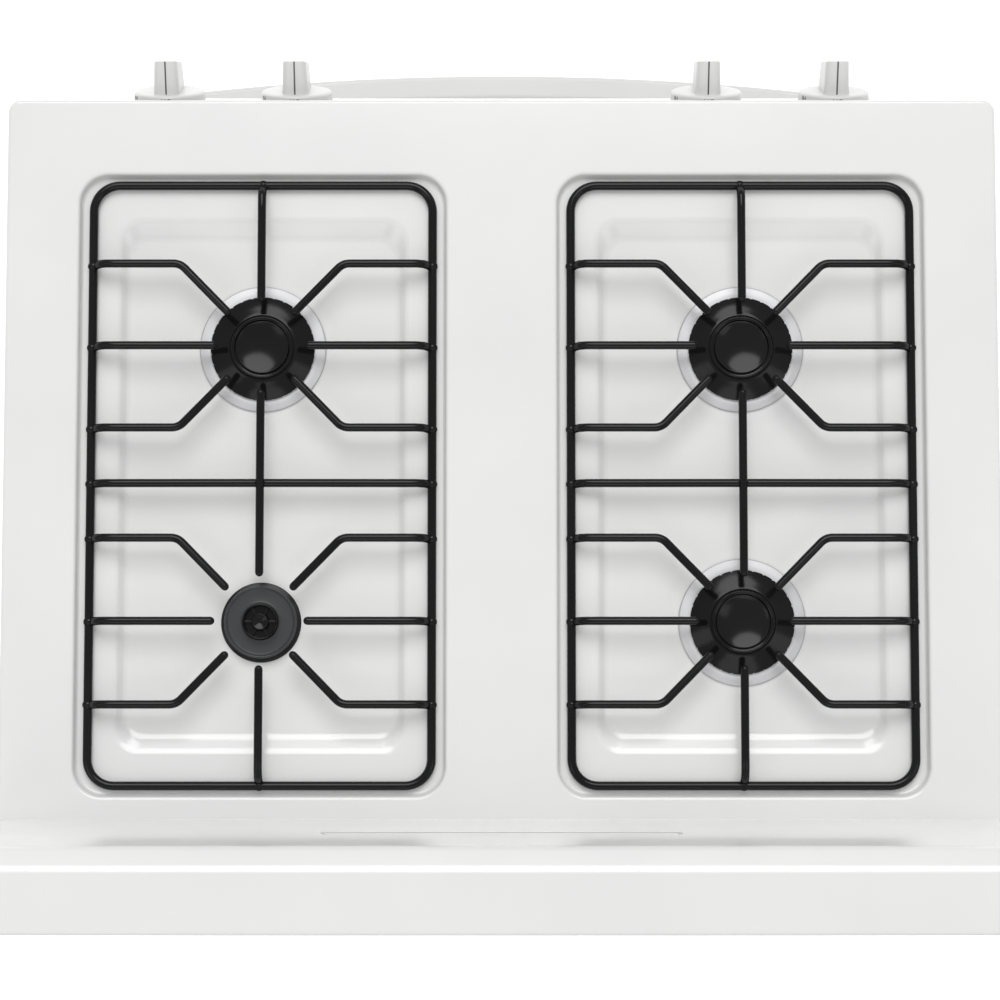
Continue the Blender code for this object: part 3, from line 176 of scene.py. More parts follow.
def addDrum(name, radius, low, high, steps=48, topRadius=None):  # upright, about the origin's Z
    deselectAll()
    bpy.ops.mesh.primitive_cone_add(
        vertices=steps,
        radius1=radius,
        radius2=radius if topRadius is None else topRadius,
        depth=high - low,
        location=(0, 0, (low + high) / 2),
    )
    piece = bpy.context.active_object
    piece.name = name
    applyPlace(piece)
    return piece


def pick(kind, test):
    # picks faces, edges or corners of the mesh in edit mode, by a test on each
    bpy.ops.mesh.select_mode(type=kind)
    bpy.ops.mesh.select_all(action="DESELECT")
    shape = bmesh.from_edit_mesh(bpy.context.edit_object.data)
    for item in {"VERT": shape.verts, "EDGE": shape.edges, "FACE": shape.faces}[kind]:
        if test(item):
            item.select_set(True)
    shape.select_flush_mode()
    bmesh.update_edit_mesh(bpy.context.edit_object.data)


def midOf(item):
    points = [corner.co for corner in item.verts]
    return sum(points, Vector()) / len(points)


def near(a, b, within=1e-5):
    return abs(a - b) < within


def bent(edge, angle):  # an inner edge whose faces meet at more than this angle
    return not edge.is_boundary and edge.calc_face_angle(0) > angle


def edgeAlong(edge, axis):  # 0, 1 or 2
    a, b = (corner.co for corner in edge.verts)
    return abs((b - a).normalized()[axis]) > 0.999


def roundPicked(radius, steps, how="EDGES"):
    bpy.ops.mesh.bevel(offset=radius, segments=steps, affect=how, profile=0.5)


def push(move):
    bpy.ops.mesh.extrude_region_move(TRANSFORM_OT_translate={"value": move})


def stretch(scale, about):
    bpy.ops.transform.resize(value=scale, center_override=about)


def slide(move):
    bpy.ops.transform.translate(value=move)


def removeFaces(test):
    pick("FACE", test)
    bpy.ops.mesh.delete(type="FACE")


def sliceAt(place, normal):
    bpy.ops.mesh.select_all(action="SELECT")
    bpy.ops.mesh.bisect(plane_co=place, plane_no=normal)


def tidyMesh(outwards=True):
    bpy.ops.mesh.select_all(action="SELECT")
    bpy.ops.mesh.remove_doubles(threshold=1e-6)
    bpy.ops.mesh.normals_make_consistent(inside=not outwards)


def closeEdit():  # the usual end of a shaping session
    tidyMesh()
    endEdit()


def useModifier(piece, kind, **settings):
    activate(piece)
    bpy.ops.object.modifier_add(type=kind)
    modifier = piece.modifiers[-1]
    for key, value in settings.items():
        setattr(modifier, key, value)
    bpy.ops.object.modifier_apply(modifier=modifier.name)


def thicken(piece, wall):  # the wall goes inwards
    useModifier(piece, "SOLIDIFY", thickness=wall, offset=-1, use_even_offset=True)


def softenEdges(piece, radius, steps=3, angle=30):
    useModifier(
        piece, "BEVEL", width=radius, segments=steps, limit_method="ANGLE",
        angle_limit=math.radians(angle), use_clamp_overlap=True,
    )


def combine(piece, tool, operation):
    useModifier(piece, "BOOLEAN", operation=operation, solver="EXACT", object=tool)
    discard(tool)


def cutAway(piece, *tools):
    for tool in tools:
        combine(piece, tool, "DIFFERENCE")


def joinPieces(name, pieces):
    activate(pieces[0])
    for other in pieces[1:]:
        other.select_set(True)
    bpy.ops.object.join()
    pieces[0].name = name
    return pieces[0]


def discard(*pieces):
    for piece in pieces:
        bpy.data.objects.remove(piece, do_unlink=True)


def copyPiece(piece, name, place):
    made = piece.copy()
    made.data = piece.data.copy()
    made.name = name
    bpy.context.scene.collection.objects.link(made)
    made.data.transform(place)
    return made


def placePiece(piece, place):
    piece.matrix_world = place
    applyPlace(piece)
    return piece


def ringOf(count, make, first=0.0):
    # the same piece all the way round the Z axis
    turns = [math.tau * (index + first) / count for index in range(count)]
    return [placePiece(make(), Matrix.Rotation(turn, 4, "Z")) for turn in turns]


def turnProfile(name, profile, steps=64, closed=False):
    # spins (radius, height) points about the origin's Z
    deselectAll()
    bpy.ops.mesh.primitive_plane_add(size=0.001, location=(0, 0, 0))
    piece = bpy.context.active_object
    piece.name = name
    startEdit(piece)
    bpy.ops.mesh.merge(type="CENTER")
    bpy.ops.mesh.select_mode(type="VERT")
    bpy.ops.mesh.select_all(action="SELECT")
    slide((profile[0][0], 0, profile[0][1]))
    here = profile[0]
    for there in list(profile[1:]) + ([profile[0]] if closed else []):
        push((there[0] - here[0], 0, there[1] - here[1]))
        here = there
    bpy.ops.mesh.select_all(action="SELECT")
    bpy.ops.mesh.remove_doubles(threshold=1e-7)
    bpy.ops.mesh.select_all(action="SELECT")
    bpy.ops.mesh.spin(steps=steps, angle=math.tau, center=(0, 0, 0), axis=(0, 0, 1))
    closeEdit()
    return piece


def arcPoints(centre, radius, start, end, steps):
    # (radius, height) points of an arc, for a profile, in degrees
    points = []
    for step in range(steps + 1):
        angle = math.radians(start + (end - start) * step / steps)
        points.append((centre[0] + radius * math.cos(angle), centre[1] + radius * math.sin(angle)))
    return points


def bendPath(corners, radius, steps=5, closed=False):
    # rounds the corners of a path with arcs
    corners = [Vector(corner) for corner in corners]
    path = []
    for index, here in enumerate(corners):
        if not closed and index in (0, len(corners) - 1):
            path.append(here)
            continue
        before = (corners[index - 1] - here).normalized()
        after = (corners[(index + 1) % len(corners)] - here).normalized()
        half = before.angle(after) / 2
        if half > math.radians(89):
            path.append(here)
            continue
        reach = radius / math.tan(half)
        centre = here + (before + after).normalized() * radius / math.sin(half)
        first, last = here + before * reach - centre, here + after * reach - centre
        for step in range(steps + 1):
            path.append(centre + first.slerp(last, step / steps).normalized() * radius)
    return path


def wireAlong(name, path, radius, closed=False, roundTips=False, sides=5):
    # a round wire along a path, with domed ends if wanted
    curve = bpy.data.curves.new(name, "CURVE")
    curve.dimensions = "3D"
    curve.bevel_depth = radius
    curve.bevel_resolution = sides
    curve.use_fill_caps = True
    points = [(Vector(point), 1.0) for point in path]
    if roundTips:
        for end, inner in ((0, 1), (-1, -2)):
            tip = points[end][0]
            inward = (points[inner][0] - tip).normalized()
            dome = [(tip + inward * radius * (1 - math.sin(a)), math.cos(a)) for a in (0.0, 0.5, 1.0, 1.35)]
            points = (dome[::-1] + points[1:]) if end == 0 else (points[:-1] + dome)
    spline = curve.splines.new("POLY")
    spline.points.add(len(points) - 1)
    for slot, (place, share) in zip(spline.points, points):
        slot.co = (*place, 1)
        slot.radius = share
    spline.use_cyclic_u = closed
    piece = bpy.data.objects.new(name, curve)
    bpy.context.scene.collection.objects.link(piece)
    activate(piece)
    bpy.ops.object.convert(target="MESH")
    startEdit(piece)
    closeEdit()
    return piece


def drawText(name, words, height, thick):
    # flat lettering about the origin, standing up from Z 0
    deselectAll()
    bpy.ops.object.text_add(location=(0, 0, 0))
    piece = bpy.context.active_object
    piece.name = name
    piece.data.body = words
    piece.data.size = height
    piece.data.align_x = "CENTER"
    piece.data.align_y = "CENTER"
    piece.data.extrude = thick / 2
    piece.data.resolution_u = 4
    bpy.ops.object.convert(target="MESH")
    return piece


def roundedBlock(name, low, high, radius, axis, steps=6):
    # a box with the edges along one axis rounded
    piece = addBox(name, low, high)
    startEdit(piece)
    pick("EDGE", lambda edge: edgeAlong(edge, axis))
    roundPicked(radius, steps)
    endEdit()
    return piece


def finishPiece(piece, body, finish, *replaced, angle=None, slotName=None):
    # smooth shading, a finish, the body it moves with, and the nodes it stands in for
    activate(piece)
    bpy.ops.object.shade_smooth_by_angle(angle=math.radians(angle or (40 if replaced else 35)))
    useModifier(piece, "WEIGHTED_NORMAL", keep_sharp=True)
    piece.data.materials.clear()
    piece.data.materials.append(finishes[finish])
    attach(piece, body)
    if replaced:
        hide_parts(*replaced)
    return piece


# ---- finishes

finishLooks = {
    "whiteEnamel": {
        "slot": "white_enamel", "tones": ((0.785, 0.785, 0.775), (0.755, 0.757, 0.752)),
        "rough": (0.16, 0.24), "grain": (900, 0.02), "coat": 0.35,
        "wear": ((0.82, 0.82, 0.81), 0.0012, 0.35),
    },
    "blackEnamel": {
        "slot": "black_enamel", "tones": ((0.004, 0.004, 0.0043), (0.007, 0.007, 0.0073)),
        "rough": (0.11, 0.18), "grain": (1400, 0.02), "gloss": 0.22,
        "wear": ((0.04, 0.04, 0.042), 0.0003, 0.3),
    },
    "satinBlack": {
        "slot": "black_enamel", "tones": ((0.008, 0.008, 0.0085), (0.014, 0.014, 0.0145)),
        "rough": (0.26, 0.38), "grain": (1800, 0.05), "gloss": 0.3,
        "wear": ((0.05, 0.05, 0.052), 0.0003, 0.4),
    },
    "greySpeckle": {
        "slot": "grey_enamel", "tones": ((0.055, 0.056, 0.062), (0.085, 0.086, 0.092)),
        "rough": (0.28, 0.42), "grain": (1100, 0.05), "speckle": ((0.42, 0.43, 0.45), 900, 0.66),
    },
    "greyEnamel": {
        "slot": "grey_enamel", "tones": ((0.04, 0.041, 0.043), (0.05, 0.051, 0.053)),
        "rough": (0.26, 0.36), "grain": (1500, 0.04), "gloss": 0.3,
        "wear": ((0.11, 0.11, 0.11), 0.0004, 0.35),
    },
    "zincSteel": {
        "slot": "zinc_steel", "tones": ((0.56, 0.57, 0.58), (0.515, 0.525, 0.535)),
        "rough": (0.34, 0.5), "metal": 1.0, "grain": (260, 0.02), "stretch": (1, 1, 0.25), "spangle": 95,
    },
    "castAluminium": {
        "slot": "aluminium", "tones": ((0.66, 0.66, 0.67), (0.61, 0.61, 0.62)),
        "rough": (0.52, 0.62), "metal": 0.8, "grain": (1500, 0.08),
    },
    "brightSteel": {
        "slot": "zinc_steel", "tones": ((0.74, 0.74, 0.74), (0.64, 0.64, 0.64)),
        "rough": (0.2, 0.3), "metal": 1.0, "grain": (1500, 0.03),
    },
    "brass": {
        "slot": "brass", "tones": ((0.72, 0.53, 0.25), (0.6, 0.42, 0.18)),
        "rough": (0.26, 0.42), "metal": 1.0, "grain": (900, 0.04),
    },
    "whitePlastic": {
        "slot": "white_plastic", "tones": ((0.7, 0.7, 0.69), (0.675, 0.675, 0.665)),
        "rough": (0.3, 0.4), "grain": (2600, 0.05), "wear": ((0.8, 0.8, 0.79), 0.001, 0.4),
    },
    "blackPlastic": {
        "slot": "black_plastic", "tones": ((0.022, 0.022, 0.023), (0.035, 0.035, 0.036)),
        "rough": (0.5, 0.66), "grain": (2200, 0.14),
    },
    "chromeWire": {
        "slot": "chrome", "tones": ((0.8, 0.8, 0.81), (0.7, 0.7, 0.71)),
        "rough": (0.1, 0.2), "metal": 1.0, "grain": (700, 0.02),
    },
    "darkGlass": {
        "slot": "dark_glass", "tones": ((0.01, 0.01, 0.012), (0.014, 0.014, 0.016)),
        "rough": (0.04, 0.07), "grain": (40, 0.004), "gloss": 0.45,
    },
    "fibreRope": {
        "slot": "black_plastic", "tones": ((0.16, 0.155, 0.15), (0.26, 0.25, 0.24)),
        "rough": (0.8, 0.92), "grain": (1500, 0.5),
    },
    "darkPrint": {
        "slot": "black_plastic", "tones": ((0.075, 0.077, 0.08), (0.1, 0.1, 0.105)),
        "rough": (0.45, 0.55), "grain": (1800, 0.03),
    },
    "porcelain": {
        "slot": "white_enamel", "tones": ((0.8, 0.79, 0.76), (0.74, 0.73, 0.7)),
        "rough": (0.22, 0.34), "grain": (1200, 0.03),
    },
}


def makeFinish(name, look):
    made = bpy.data.materials.new(name)
    made.use_nodes = True
    nodes, links = made.node_tree.nodes, made.node_tree.links
    shader = nodes["Principled BSDF"]
    shader.inputs["Metallic"].default_value = look.get("metal", 0.0)
    shader.inputs["Coat Weight"].default_value = look.get("coat", 0.0)
    shader.inputs["Coat Roughness"].default_value = 0.08
    shader.inputs["Specular IOR Level"].default_value = look.get("gloss", 0.5)
    place = nodes.new("ShaderNodeTexCoord")
    spread = nodes.new("ShaderNodeMapping")
    spread.inputs["Scale"].default_value = look.get("stretch", (1, 1, 1))
    links.new(place.outputs["Object"], spread.inputs["Vector"])

    def cloud(scale, detail):
        noise = nodes.new("ShaderNodeTexNoise")
        noise.inputs["Scale"].default_value = scale
        noise.inputs["Detail"].default_value = detail
        links.new(spread.outputs["Vector"], noise.inputs["Vector"])
        return noise.outputs["Fac"]

    def between(value, low, high, first, last):
        span = nodes.new("ShaderNodeMapRange")
        for key, number in (("From Min", low), ("From Max", high), ("To Min", first), ("To Max", last)):
            span.inputs[key].default_value = number
        links.new(value, span.inputs["Value"])
        return span.outputs["Result"]

    def blend(share, a, b):
        mix = nodes.new("ShaderNodeMix")
        mix.data_type = "RGBA"
        links.new(share, mix.inputs["Factor"])
        for key, colour in (("A", a), ("B", b)):
            socket = [s for s in mix.inputs if s.name == key and s.type == "RGBA"][0]
            if isinstance(colour, tuple):
                socket.default_value = (*colour, 1)
            else:
                links.new(colour, socket)
        return [s for s in mix.outputs if s.type == "RGBA"][0]

    if "spangle" in look:  # crystals of the zinc
        crystals = nodes.new("ShaderNodeTexVoronoi")
        crystals.inputs["Scale"].default_value = look["spangle"]
        links.new(place.outputs["Object"], crystals.inputs["Vector"])
        toBlack = nodes.new("ShaderNodeRGBToBW")
        links.new(crystals.outputs["Color"], toBlack.inputs["Color"])
        tone = toBlack.outputs["Val"]
    else:
        tone = between(cloud(7, 4), 0.35, 0.65, 0, 1)
    colour = blend(tone, *look["tones"])
    if "speckle" in look:
        fleck, scale, edge = look["speckle"]
        colour = blend(between(cloud(scale, 2), edge, edge + 0.03, 0, 1), colour, fleck)
    if "wear" in look:
        rubbed, radius, amount = look["wear"]
        rounded = nodes.new("ShaderNodeBevel")
        rounded.samples = 4
        rounded.inputs["Radius"].default_value = radius
        facing = nodes.new("ShaderNodeNewGeometry")
        compare = nodes.new("ShaderNodeVectorMath")
        compare.operation = "DOT_PRODUCT"
        links.new(rounded.outputs["Normal"], compare.inputs[0])
        links.new(facing.outputs["Normal"], compare.inputs[1])
        edges = between(compare.outputs["Value"], 0.995, 0.90, 0, amount)
        colour = blend(edges, colour, rubbed)
    links.new(colour, shader.inputs["Base Color"])
    rough = between(cloud(16, 5), 0.3, 0.7, *look["rough"])
    links.new(rough, shader.inputs["Roughness"])
    scale, strength = look["grain"]
    bump = nodes.new("ShaderNodeBump")
    bump.inputs["Strength"].default_value = strength
    bump.inputs["Distance"].default_value = 0.001
    links.new(cloud(scale, 3), bump.inputs["Height"])
    links.new(bump.outputs["Normal"], shader.inputs["Normal"])
    return made


finishes = {name: makeFinish(name, look) for name, look in finishLooks.items()}
print("finishes made,", len(finishes))
setStage()
print("camera, floor and lamps set")

# ---- cooktop

cooktop = {
    "panHalf": (0.140, 0.2376),
    "panMiddle": (0.183, 0.297),  # from the centre line, and behind the front edge
    "ledge": 0.007,
    "ledgeHalf": (0.110, 0.2041),
    "wellHalf": (0.1037, 0.1915),
    "wellDepth": 0.013,
    "skirt": 0.016,
    "panCorner": 0.022,
    "corner": 0.010,
    "lip": 0.0032,
    "wall": 0.0012,
    "padRadius": (0.0605, 0.0560),
    "padRise": 0.0012,
    "holeRadius": 0.0285,
}
burnerBoxes = {
    (row, side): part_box(f"burner_base_{row}_{side}") for row in ("front", "rear") for side in sides
}


def burnerSpot(row, side):
    low, high = burnerBoxes[row, side]
    return (low.x + high.x) / 2, (low.y + high.y) / 2


def makeCooktop():
    deselectAll()
    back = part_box("backguard")[0].y
    bpy.ops.mesh.primitive_plane_add(
        size=1, location=(0, (front + back) / 2, rim), scale=(2 * halfWidth, back - front, 1)
    )
    piece = bpy.context.active_object
    piece.name = "cooktopSheet"
    piece.scale = (2 * halfWidth, back - front, 1)
    applyPlace(piece)
    panX, panY = cooktop["panMiddle"]
    halfX, halfY = cooktop["panHalf"]
    startEdit(piece)
    for side in (-1, 1):
        for x in (side * panX - halfX, side * panX + halfX):
            sliceAt((x, 0, 0), (1, 0, 0))
    for y in (behind(panY) - halfY, behind(panY) + halfY):
        sliceAt((0, y, 0), (0, 1, 0))
    pick("EDGE", lambda edge: edge.is_boundary)
    bpy.ops.mesh.extrude_edges_move(TRANSFORM_OT_translate={"value": (0, 0, -cooktop["skirt"])})

    def inPan(item, spare=0.0):
        middle = midOf(item)
        return abs(abs(middle.x) - panX) < halfX + spare and abs(middle.y - behind(panY)) < halfY + spare

    pick("FACE", lambda face: inPan(face) and abs(face.normal.z) > 0.9)
    push((0, 0, -cooktop["ledge"]))
    pick("EDGE", lambda edge: edgeAlong(edge, 2) and inPan(edge, 1e-4))
    roundPicked(cooktop["panCorner"], 10)
    pick("EDGE", lambda edge: edgeAlong(edge, 2) and near(abs(midOf(edge).x), halfWidth, 1e-4)
         and near(midOf(edge).y, front, 1e-4))
    roundPicked(cooktop["corner"], 6)
    ledgeZ = rim - cooktop["ledge"]
    for side in (-1, 1):
        pick("FACE", lambda face: abs(face.normal.z) > 0.9 and near(midOf(face).z, ledgeZ)
             and midOf(face).x * side > 0)
        push((0, 0, 0))
        about = (side * panX, behind(panY), ledgeZ)
        stretch((cooktop["ledgeHalf"][0] / halfX, cooktop["ledgeHalf"][1] / halfY, 1), about)
        push((0, 0, cooktop["ledge"] - cooktop["wellDepth"]))
        stretch([well / ledge for well, ledge in zip(cooktop["wellHalf"], cooktop["ledgeHalf"])] + [1], about)
        slide((0, 0.0010, 0))
    tidyMesh()
    pick("EDGE", sharpAndNotUpright)
    roundPicked(cooktop["lip"], 4)
    closeEdit()
    thicken(piece, cooktop["wall"])
    floor = rim - cooktop["wellDepth"]
    for row, side in burnerBoxes:
        x, y = burnerSpot(row, side)
        low, high = cooktop["padRadius"]
        pad = addDrum("pad", low, floor - 0.0008, floor + cooktop["padRise"], 72, high)
        combine(piece, placePiece(pad, Matrix.Translation((x, y, 0))), "UNION")
        share = 0.75 if (row, side) == ("rear", "right") else 1  # the small burner's hole is smaller
        hole = addDrum("hole", cooktop["holeRadius"] * share, -0.03, 0.03, 48)
        cutAway(piece, placePiece(hole, Matrix.Translation((x, y, floor))))
    finishPiece(piece, "body", "whiteEnamel", "cooktop")


def sharpAndNotUpright(edge):
    if len(edge.link_faces) != 2 or edgeAlong(edge, 2) or midOf(edge).y > cooktopHigh.y - 1e-3:
        return False
    return edge.calc_face_angle(0) > math.radians(20)


makeCooktop()
print("cooktop shaped")

# ---- backguard

backguard = {
    "lean": 0.019,
    "slope": (0.016, 0.009),
    "edge": 0.0035,
    "wall": 0.0012,
    "slotHalf": 0.1325,
    "slotHeight": 0.0032,
    "slotRise": 0.0460,
    "hook": (0.0020, 0.0050),
}


def makeBackguard():
    low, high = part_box("backguard")
    piece = addBox("backguardShell", low, high)
    lean, (slopeDepth, slopeHeight) = backguard["lean"], backguard["slope"]
    startEdit(piece)
    removeFaces(lambda face: face.normal.z < -0.9)
    for z in (rim, high.z - slopeHeight):
        sliceAt((0, 0, z), (0, 0, 1))
    pick("VERT", lambda corner: near(corner.co.y, low.y, 1e-4) and corner.co.z > high.z - slopeHeight - 1e-4)
    slide((0, lean, 0))
    pick("VERT", lambda corner: corner.co.z > high.z - 1e-4 and corner.co.y < high.y - 1e-4)
    slide((0, slopeDepth, 0))
    pick("EDGE", lambda edge: bent(edge, 0.2) and midOf(edge).z > rim + 1e-4)
    roundPicked(backguard["edge"], 4)
    closeEdit()
    thicken(piece, backguard["wall"])
    half, bottom = backguard["slotHalf"], rim + backguard["slotRise"]
    top = bottom + backguard["slotHeight"]
    cutAway(piece, addBox("slot", (-half, low.y - 0.01, bottom), (half, low.y + lean, top)))
    wide, tall = backguard["hook"]
    for side in (-1, 1):
        hook = addBox("hook", (-wide / 2, -0.02, -tall), (wide / 2, 0.02, 0.0012))
        turn = Matrix.Rotation(math.radians(38 * side), 4, "Y")
        place = Matrix.Translation((side * half, low.y + 0.008, top))
        mirror = Matrix.Rotation(math.pi, 4, "X")
        cutAway(piece, placePiece(hook, place @ mirror @ turn))
    finishPiece(piece, "body", "whiteEnamel", "backguard")


makeBackguard()
print("backguard shaped")

# ---- grates

grate = {
    "centre": (0.183, 0.297),
    "half": (0.130, 0.230),
    "corner": 0.020,
    "rod": 0.0034,
    "finger": 0.0032,
    "frameDrop": 0.0034,
    "fingerRise": 0.0087,
    "crossbarRise": 0.0045,
    "rows": 0.0630,
    "tip": 0.0335,
    "bend": 0.0620,
    "elbow": 0.012,
    "weld": (0.0042, 0.0040, 0.0030),
}
burnerRows = [burnerSpot(row, "left")[1] - behind(grate["centre"][1]) for row in ("front", "rear")]


def climbPath(reach, along, turn, high):
    # from the frame's rod up to the height of a finger; turn 0 for a side bar, 1 for an end bar
    low = -grate["frameDrop"]
    side = 1 if reach > 0 else -1
    steps = [(reach, low), (reach - side * 0.0015, low + 0.001), (reach - side * 0.0065, high - 0.0025),
             (reach - side * 0.0115, high), (reach - side * 0.020, high)]
    if turn:
        return [(along, distance, height) for distance, height in steps]
    return [(distance, along, height) for distance, height in steps]


def grateBars():
    halfX, halfY = grate["half"]
    high, tip, bend = grate["fingerRise"], grate["tip"], grate["bend"]
    bars = [
        climbPath(-halfY, 0, 1, high) + [(0, burnerRows[0] - tip, high)],
        [(0, burnerRows[0] + tip, high), (0, burnerRows[1] - tip, high)],
        climbPath(halfY, 0, 1, high) + [(0, burnerRows[1] + tip, high)],
    ]
    middle = sum(burnerRows) / 2
    lift = grate["crossbarRise"]
    bars.append(climbPath(-halfX, middle, 0, lift) + [(0, middle, lift + 0.001)]
                + climbPath(halfX, middle, 0, lift)[::-1])
    for burner in burnerRows:
        for side in (-1, 1):
            for row in (-1, 0, 1):
                bar = climbPath(side * halfX, burner + row * grate["rows"], 0, high)
                if row:
                    reach = tip * math.sqrt(0.5)
                    knee = (side * bend, burner + row * grate["rows"], high)
                    last = (side * reach, burner + row * reach, high)
                    bar = bar[:-1] + bendPath([bar[-1], knee, last], grate["elbow"], 6)
                else:
                    bar.append((side * tip, burner, high))
                bars.append(bar)
    return bars


def addWeld(place):
    deselectAll()
    bpy.ops.mesh.primitive_uv_sphere_add(
        segments=14, ring_count=8, radius=1, location=place, scale=grate["weld"]
    )
    bead = bpy.context.active_object
    applyPlace(bead)
    return bead


def makeGrates():
    halfX, halfY = grate["half"]
    corners = [(-halfX, -halfY), (halfX, -halfY), (halfX, halfY), (-halfX, halfY)]
    ring = bendPath([(x, y, -grate["frameDrop"]) for x, y in corners], grate["corner"], 10, True)
    parts = [wireAlong("grateFrame", ring, grate["rod"], True)]
    for bar in grateBars():
        parts.append(wireAlong("grateBar", bar, grate["finger"], roundTips=True))
        for x, y, z in (bar[0], bar[-1]):
            if z < 0:
                parts.append(addWeld((x, y, z + 0.0008)))
    parts.append(addWeld((0, sum(burnerRows) / 2, grate["crossbarRise"] + 0.003)))
    blank = joinPieces("grateBlank", parts)
    for side, sign in sides.items():
        place = Matrix.Translation((sign * grate["centre"][0], behind(grate["centre"][1]), rim))
        made = copyPiece(blank, f"grate_{side}_wires", place)
        finishPiece(made, f"grate_{side}", "blackEnamel", f"grate_{side}", angle=50)
    discard(blank)


makeGrates()
print("grates bent and welded")

# ---- burners

largeBurner = {
    "base": [
        (0.0270, -0.0220), (0.0270, 0.0003), (0.0475, 0.0003), *arcPoints((0.0472, 0.0018), 0.0015, -90, 80, 6),
        (0.0440, 0.0037), (0.0420, 0.0040), (0.0150, 0.0040), (0.0150, -0.0220),
    ],
    "head": [
        (0.0150, 0.0043), (0.0395, 0.0043), *arcPoints((0.0389, 0.0055), 0.0010, -60, 60, 5), (0.0375, 0.0072),
        (0.0345, 0.0087), (0.0308, 0.0100), (0.0275, 0.0112), (0.0256, 0.0119), (0.0249, 0.0119), (0.0243, 0.0112),
        (0.0238, 0.0112), (0.0236, 0.0128), *arcPoints((0.0229, 0.0126), 0.0007, 20, 170, 5), (0.0213, 0.0124),
        (0.0212, 0.0070), (0.0150, 0.0070),
    ],
    "cap": [
        (0.0, 0.0073), (0.0200, 0.0073), (0.0202, 0.0124), *arcPoints((0.0196, 0.0130), 0.0006, -10, 110, 5),
        (0.0180, 0.0130), (0.0160, 0.0125), (0.0135, 0.0120), (0.0105, 0.0115), (0.0070, 0.0111), (0.0035, 0.0109),
        (0.0, 0.0108),
    ],
    "ports": (30, 0.0405, 0.0016, 0.0018),
    "portsAt": 0.0046,
    "electrode": 0.0425,
}
smallBurner = {
    "base": [
        (0.0200, -0.0220), (0.0200, 0.0003), (0.0297, 0.0003), *arcPoints((0.0296, 0.0014), 0.0010, -90, 90, 5),
        (0.0270, 0.0030), (0.0120, 0.0030), (0.0120, -0.0220),
    ],
    "head": [
        (0.0120, 0.0033), (0.0270, 0.0033), (0.0276, 0.0040), (0.0277, 0.0084),
        *arcPoints((0.0267, 0.0090), 0.0010, 0, 150, 5), (0.0250, 0.0089), (0.0240, 0.0082), (0.0160, 0.0084),
        (0.0146, 0.0092), (0.0140, 0.0100), (0.0138, 0.0050), (0.0120, 0.0050),
    ],
    "cap": [
        (0.0, 0.0053), (0.0130, 0.0053), (0.0135, 0.0060), (0.0136, 0.0132),
        *arcPoints((0.0129, 0.0135), 0.0007, 0, 150, 5), (0.0119, 0.0128), (0.0116, 0.0088), (0.0070, 0.0086),
        (0.0065, 0.0092), (0.0064, 0.0126), *arcPoints((0.0055, 0.0127), 0.0009, 0, 90, 4), (0.0030, 0.0128),
        (0.0, 0.0122),
    ],
    "ports": (18, 0.0280, 0.0014, 0.0022),
    "portsAt": 0.0052,
    "ribs": 6,
    "rib": ((0.0062, -0.0009, 0.0080), (0.0120, 0.0009, 0.0112)),
}


def cutPorts(piece, count, radius, width, height, z):
    def blade():
        return addBox("port", (radius - 0.004, -width / 2, z), (radius + 0.006, width / 2, z + height))

    cutAway(piece, joinPieces("ports", ringOf(count, blade, 0.5)))


def makeBurnerSet(sizes, small):
    finishFor = {
        "base": "satinBlack" if small else "castAluminium",
        "head": "greyEnamel" if small else "blackEnamel",
        "cap": "blackEnamel",
    }
    made = {}
    for part in ("base", "head", "cap"):
        profile = sizes[part]
        made[part] = turnProfile(f"burner_{part}", profile, 96, profile[0][0] > 0)
    count, radius, width, height = sizes["ports"]
    cutPorts(made["head"], count, radius, width, height, sizes["portsAt"])
    if small:
        ribs = ringOf(sizes["ribs"], lambda: roundedBlock("rib", *sizes["rib"], 0.0004, 0, 2))
        made["cap"] = joinPieces("burner_cap", [made["cap"], *ribs])
    for row, side in burnerBoxes:
        if ((row, side) == ("rear", "right")) != small:
            continue
        x, y = burnerSpot(row, side)
        place = Matrix.Translation((x, y, rim - cooktop["wellDepth"]))
        for part, blank in made.items():
            node = f"burner_{part}_{row}_{side}"
            body = node if part == "cap" else "body"
            piece = copyPiece(blank, f"{node}_turned", place)
            finishPiece(piece, body, finishFor[part], node)
        if not small:
            makeElectrode(row, side, place, sizes["electrode"])
    discard(*made.values())


def makeElectrode(row, side, place, reach):
    # a white ceramic sleeve with a bent wire, on the side that faces the cooktop's middle
    toMiddle = 1 if row == "front" else -1
    spot = place @ Matrix.Translation((0, toMiddle * (reach + 0.0030), 0))
    profile = [(0, -0.004), (0.0030, -0.004), (0.0030, 0.0030), (0.0022, 0.0042), (0, 0.0042)]
    sleeve = turnProfile("sleeve", profile, 24)
    placePiece(sleeve, spot)
    sleeve.name = f"electrode_sleeve_{row}_{side}"
    finishPiece(sleeve, "body", "porcelain")
    path = bendPath([(0, 0, 0.003), (0, 0, 0.0072), (0, -toMiddle * 0.0040, 0.0078)], 0.0012, 4)
    wire = wireAlong("wire", path, 0.0008, roundTips=True)
    placePiece(wire, spot)
    wire.name = f"electrode_wire_{row}_{side}"
    finishPiece(wire, "body", "brightSteel")


makeBurnerSet(largeBurner, False)
makeBurnerSet(smallBurner, True)
print("burners turned")

# ---- manifold panel and its controls

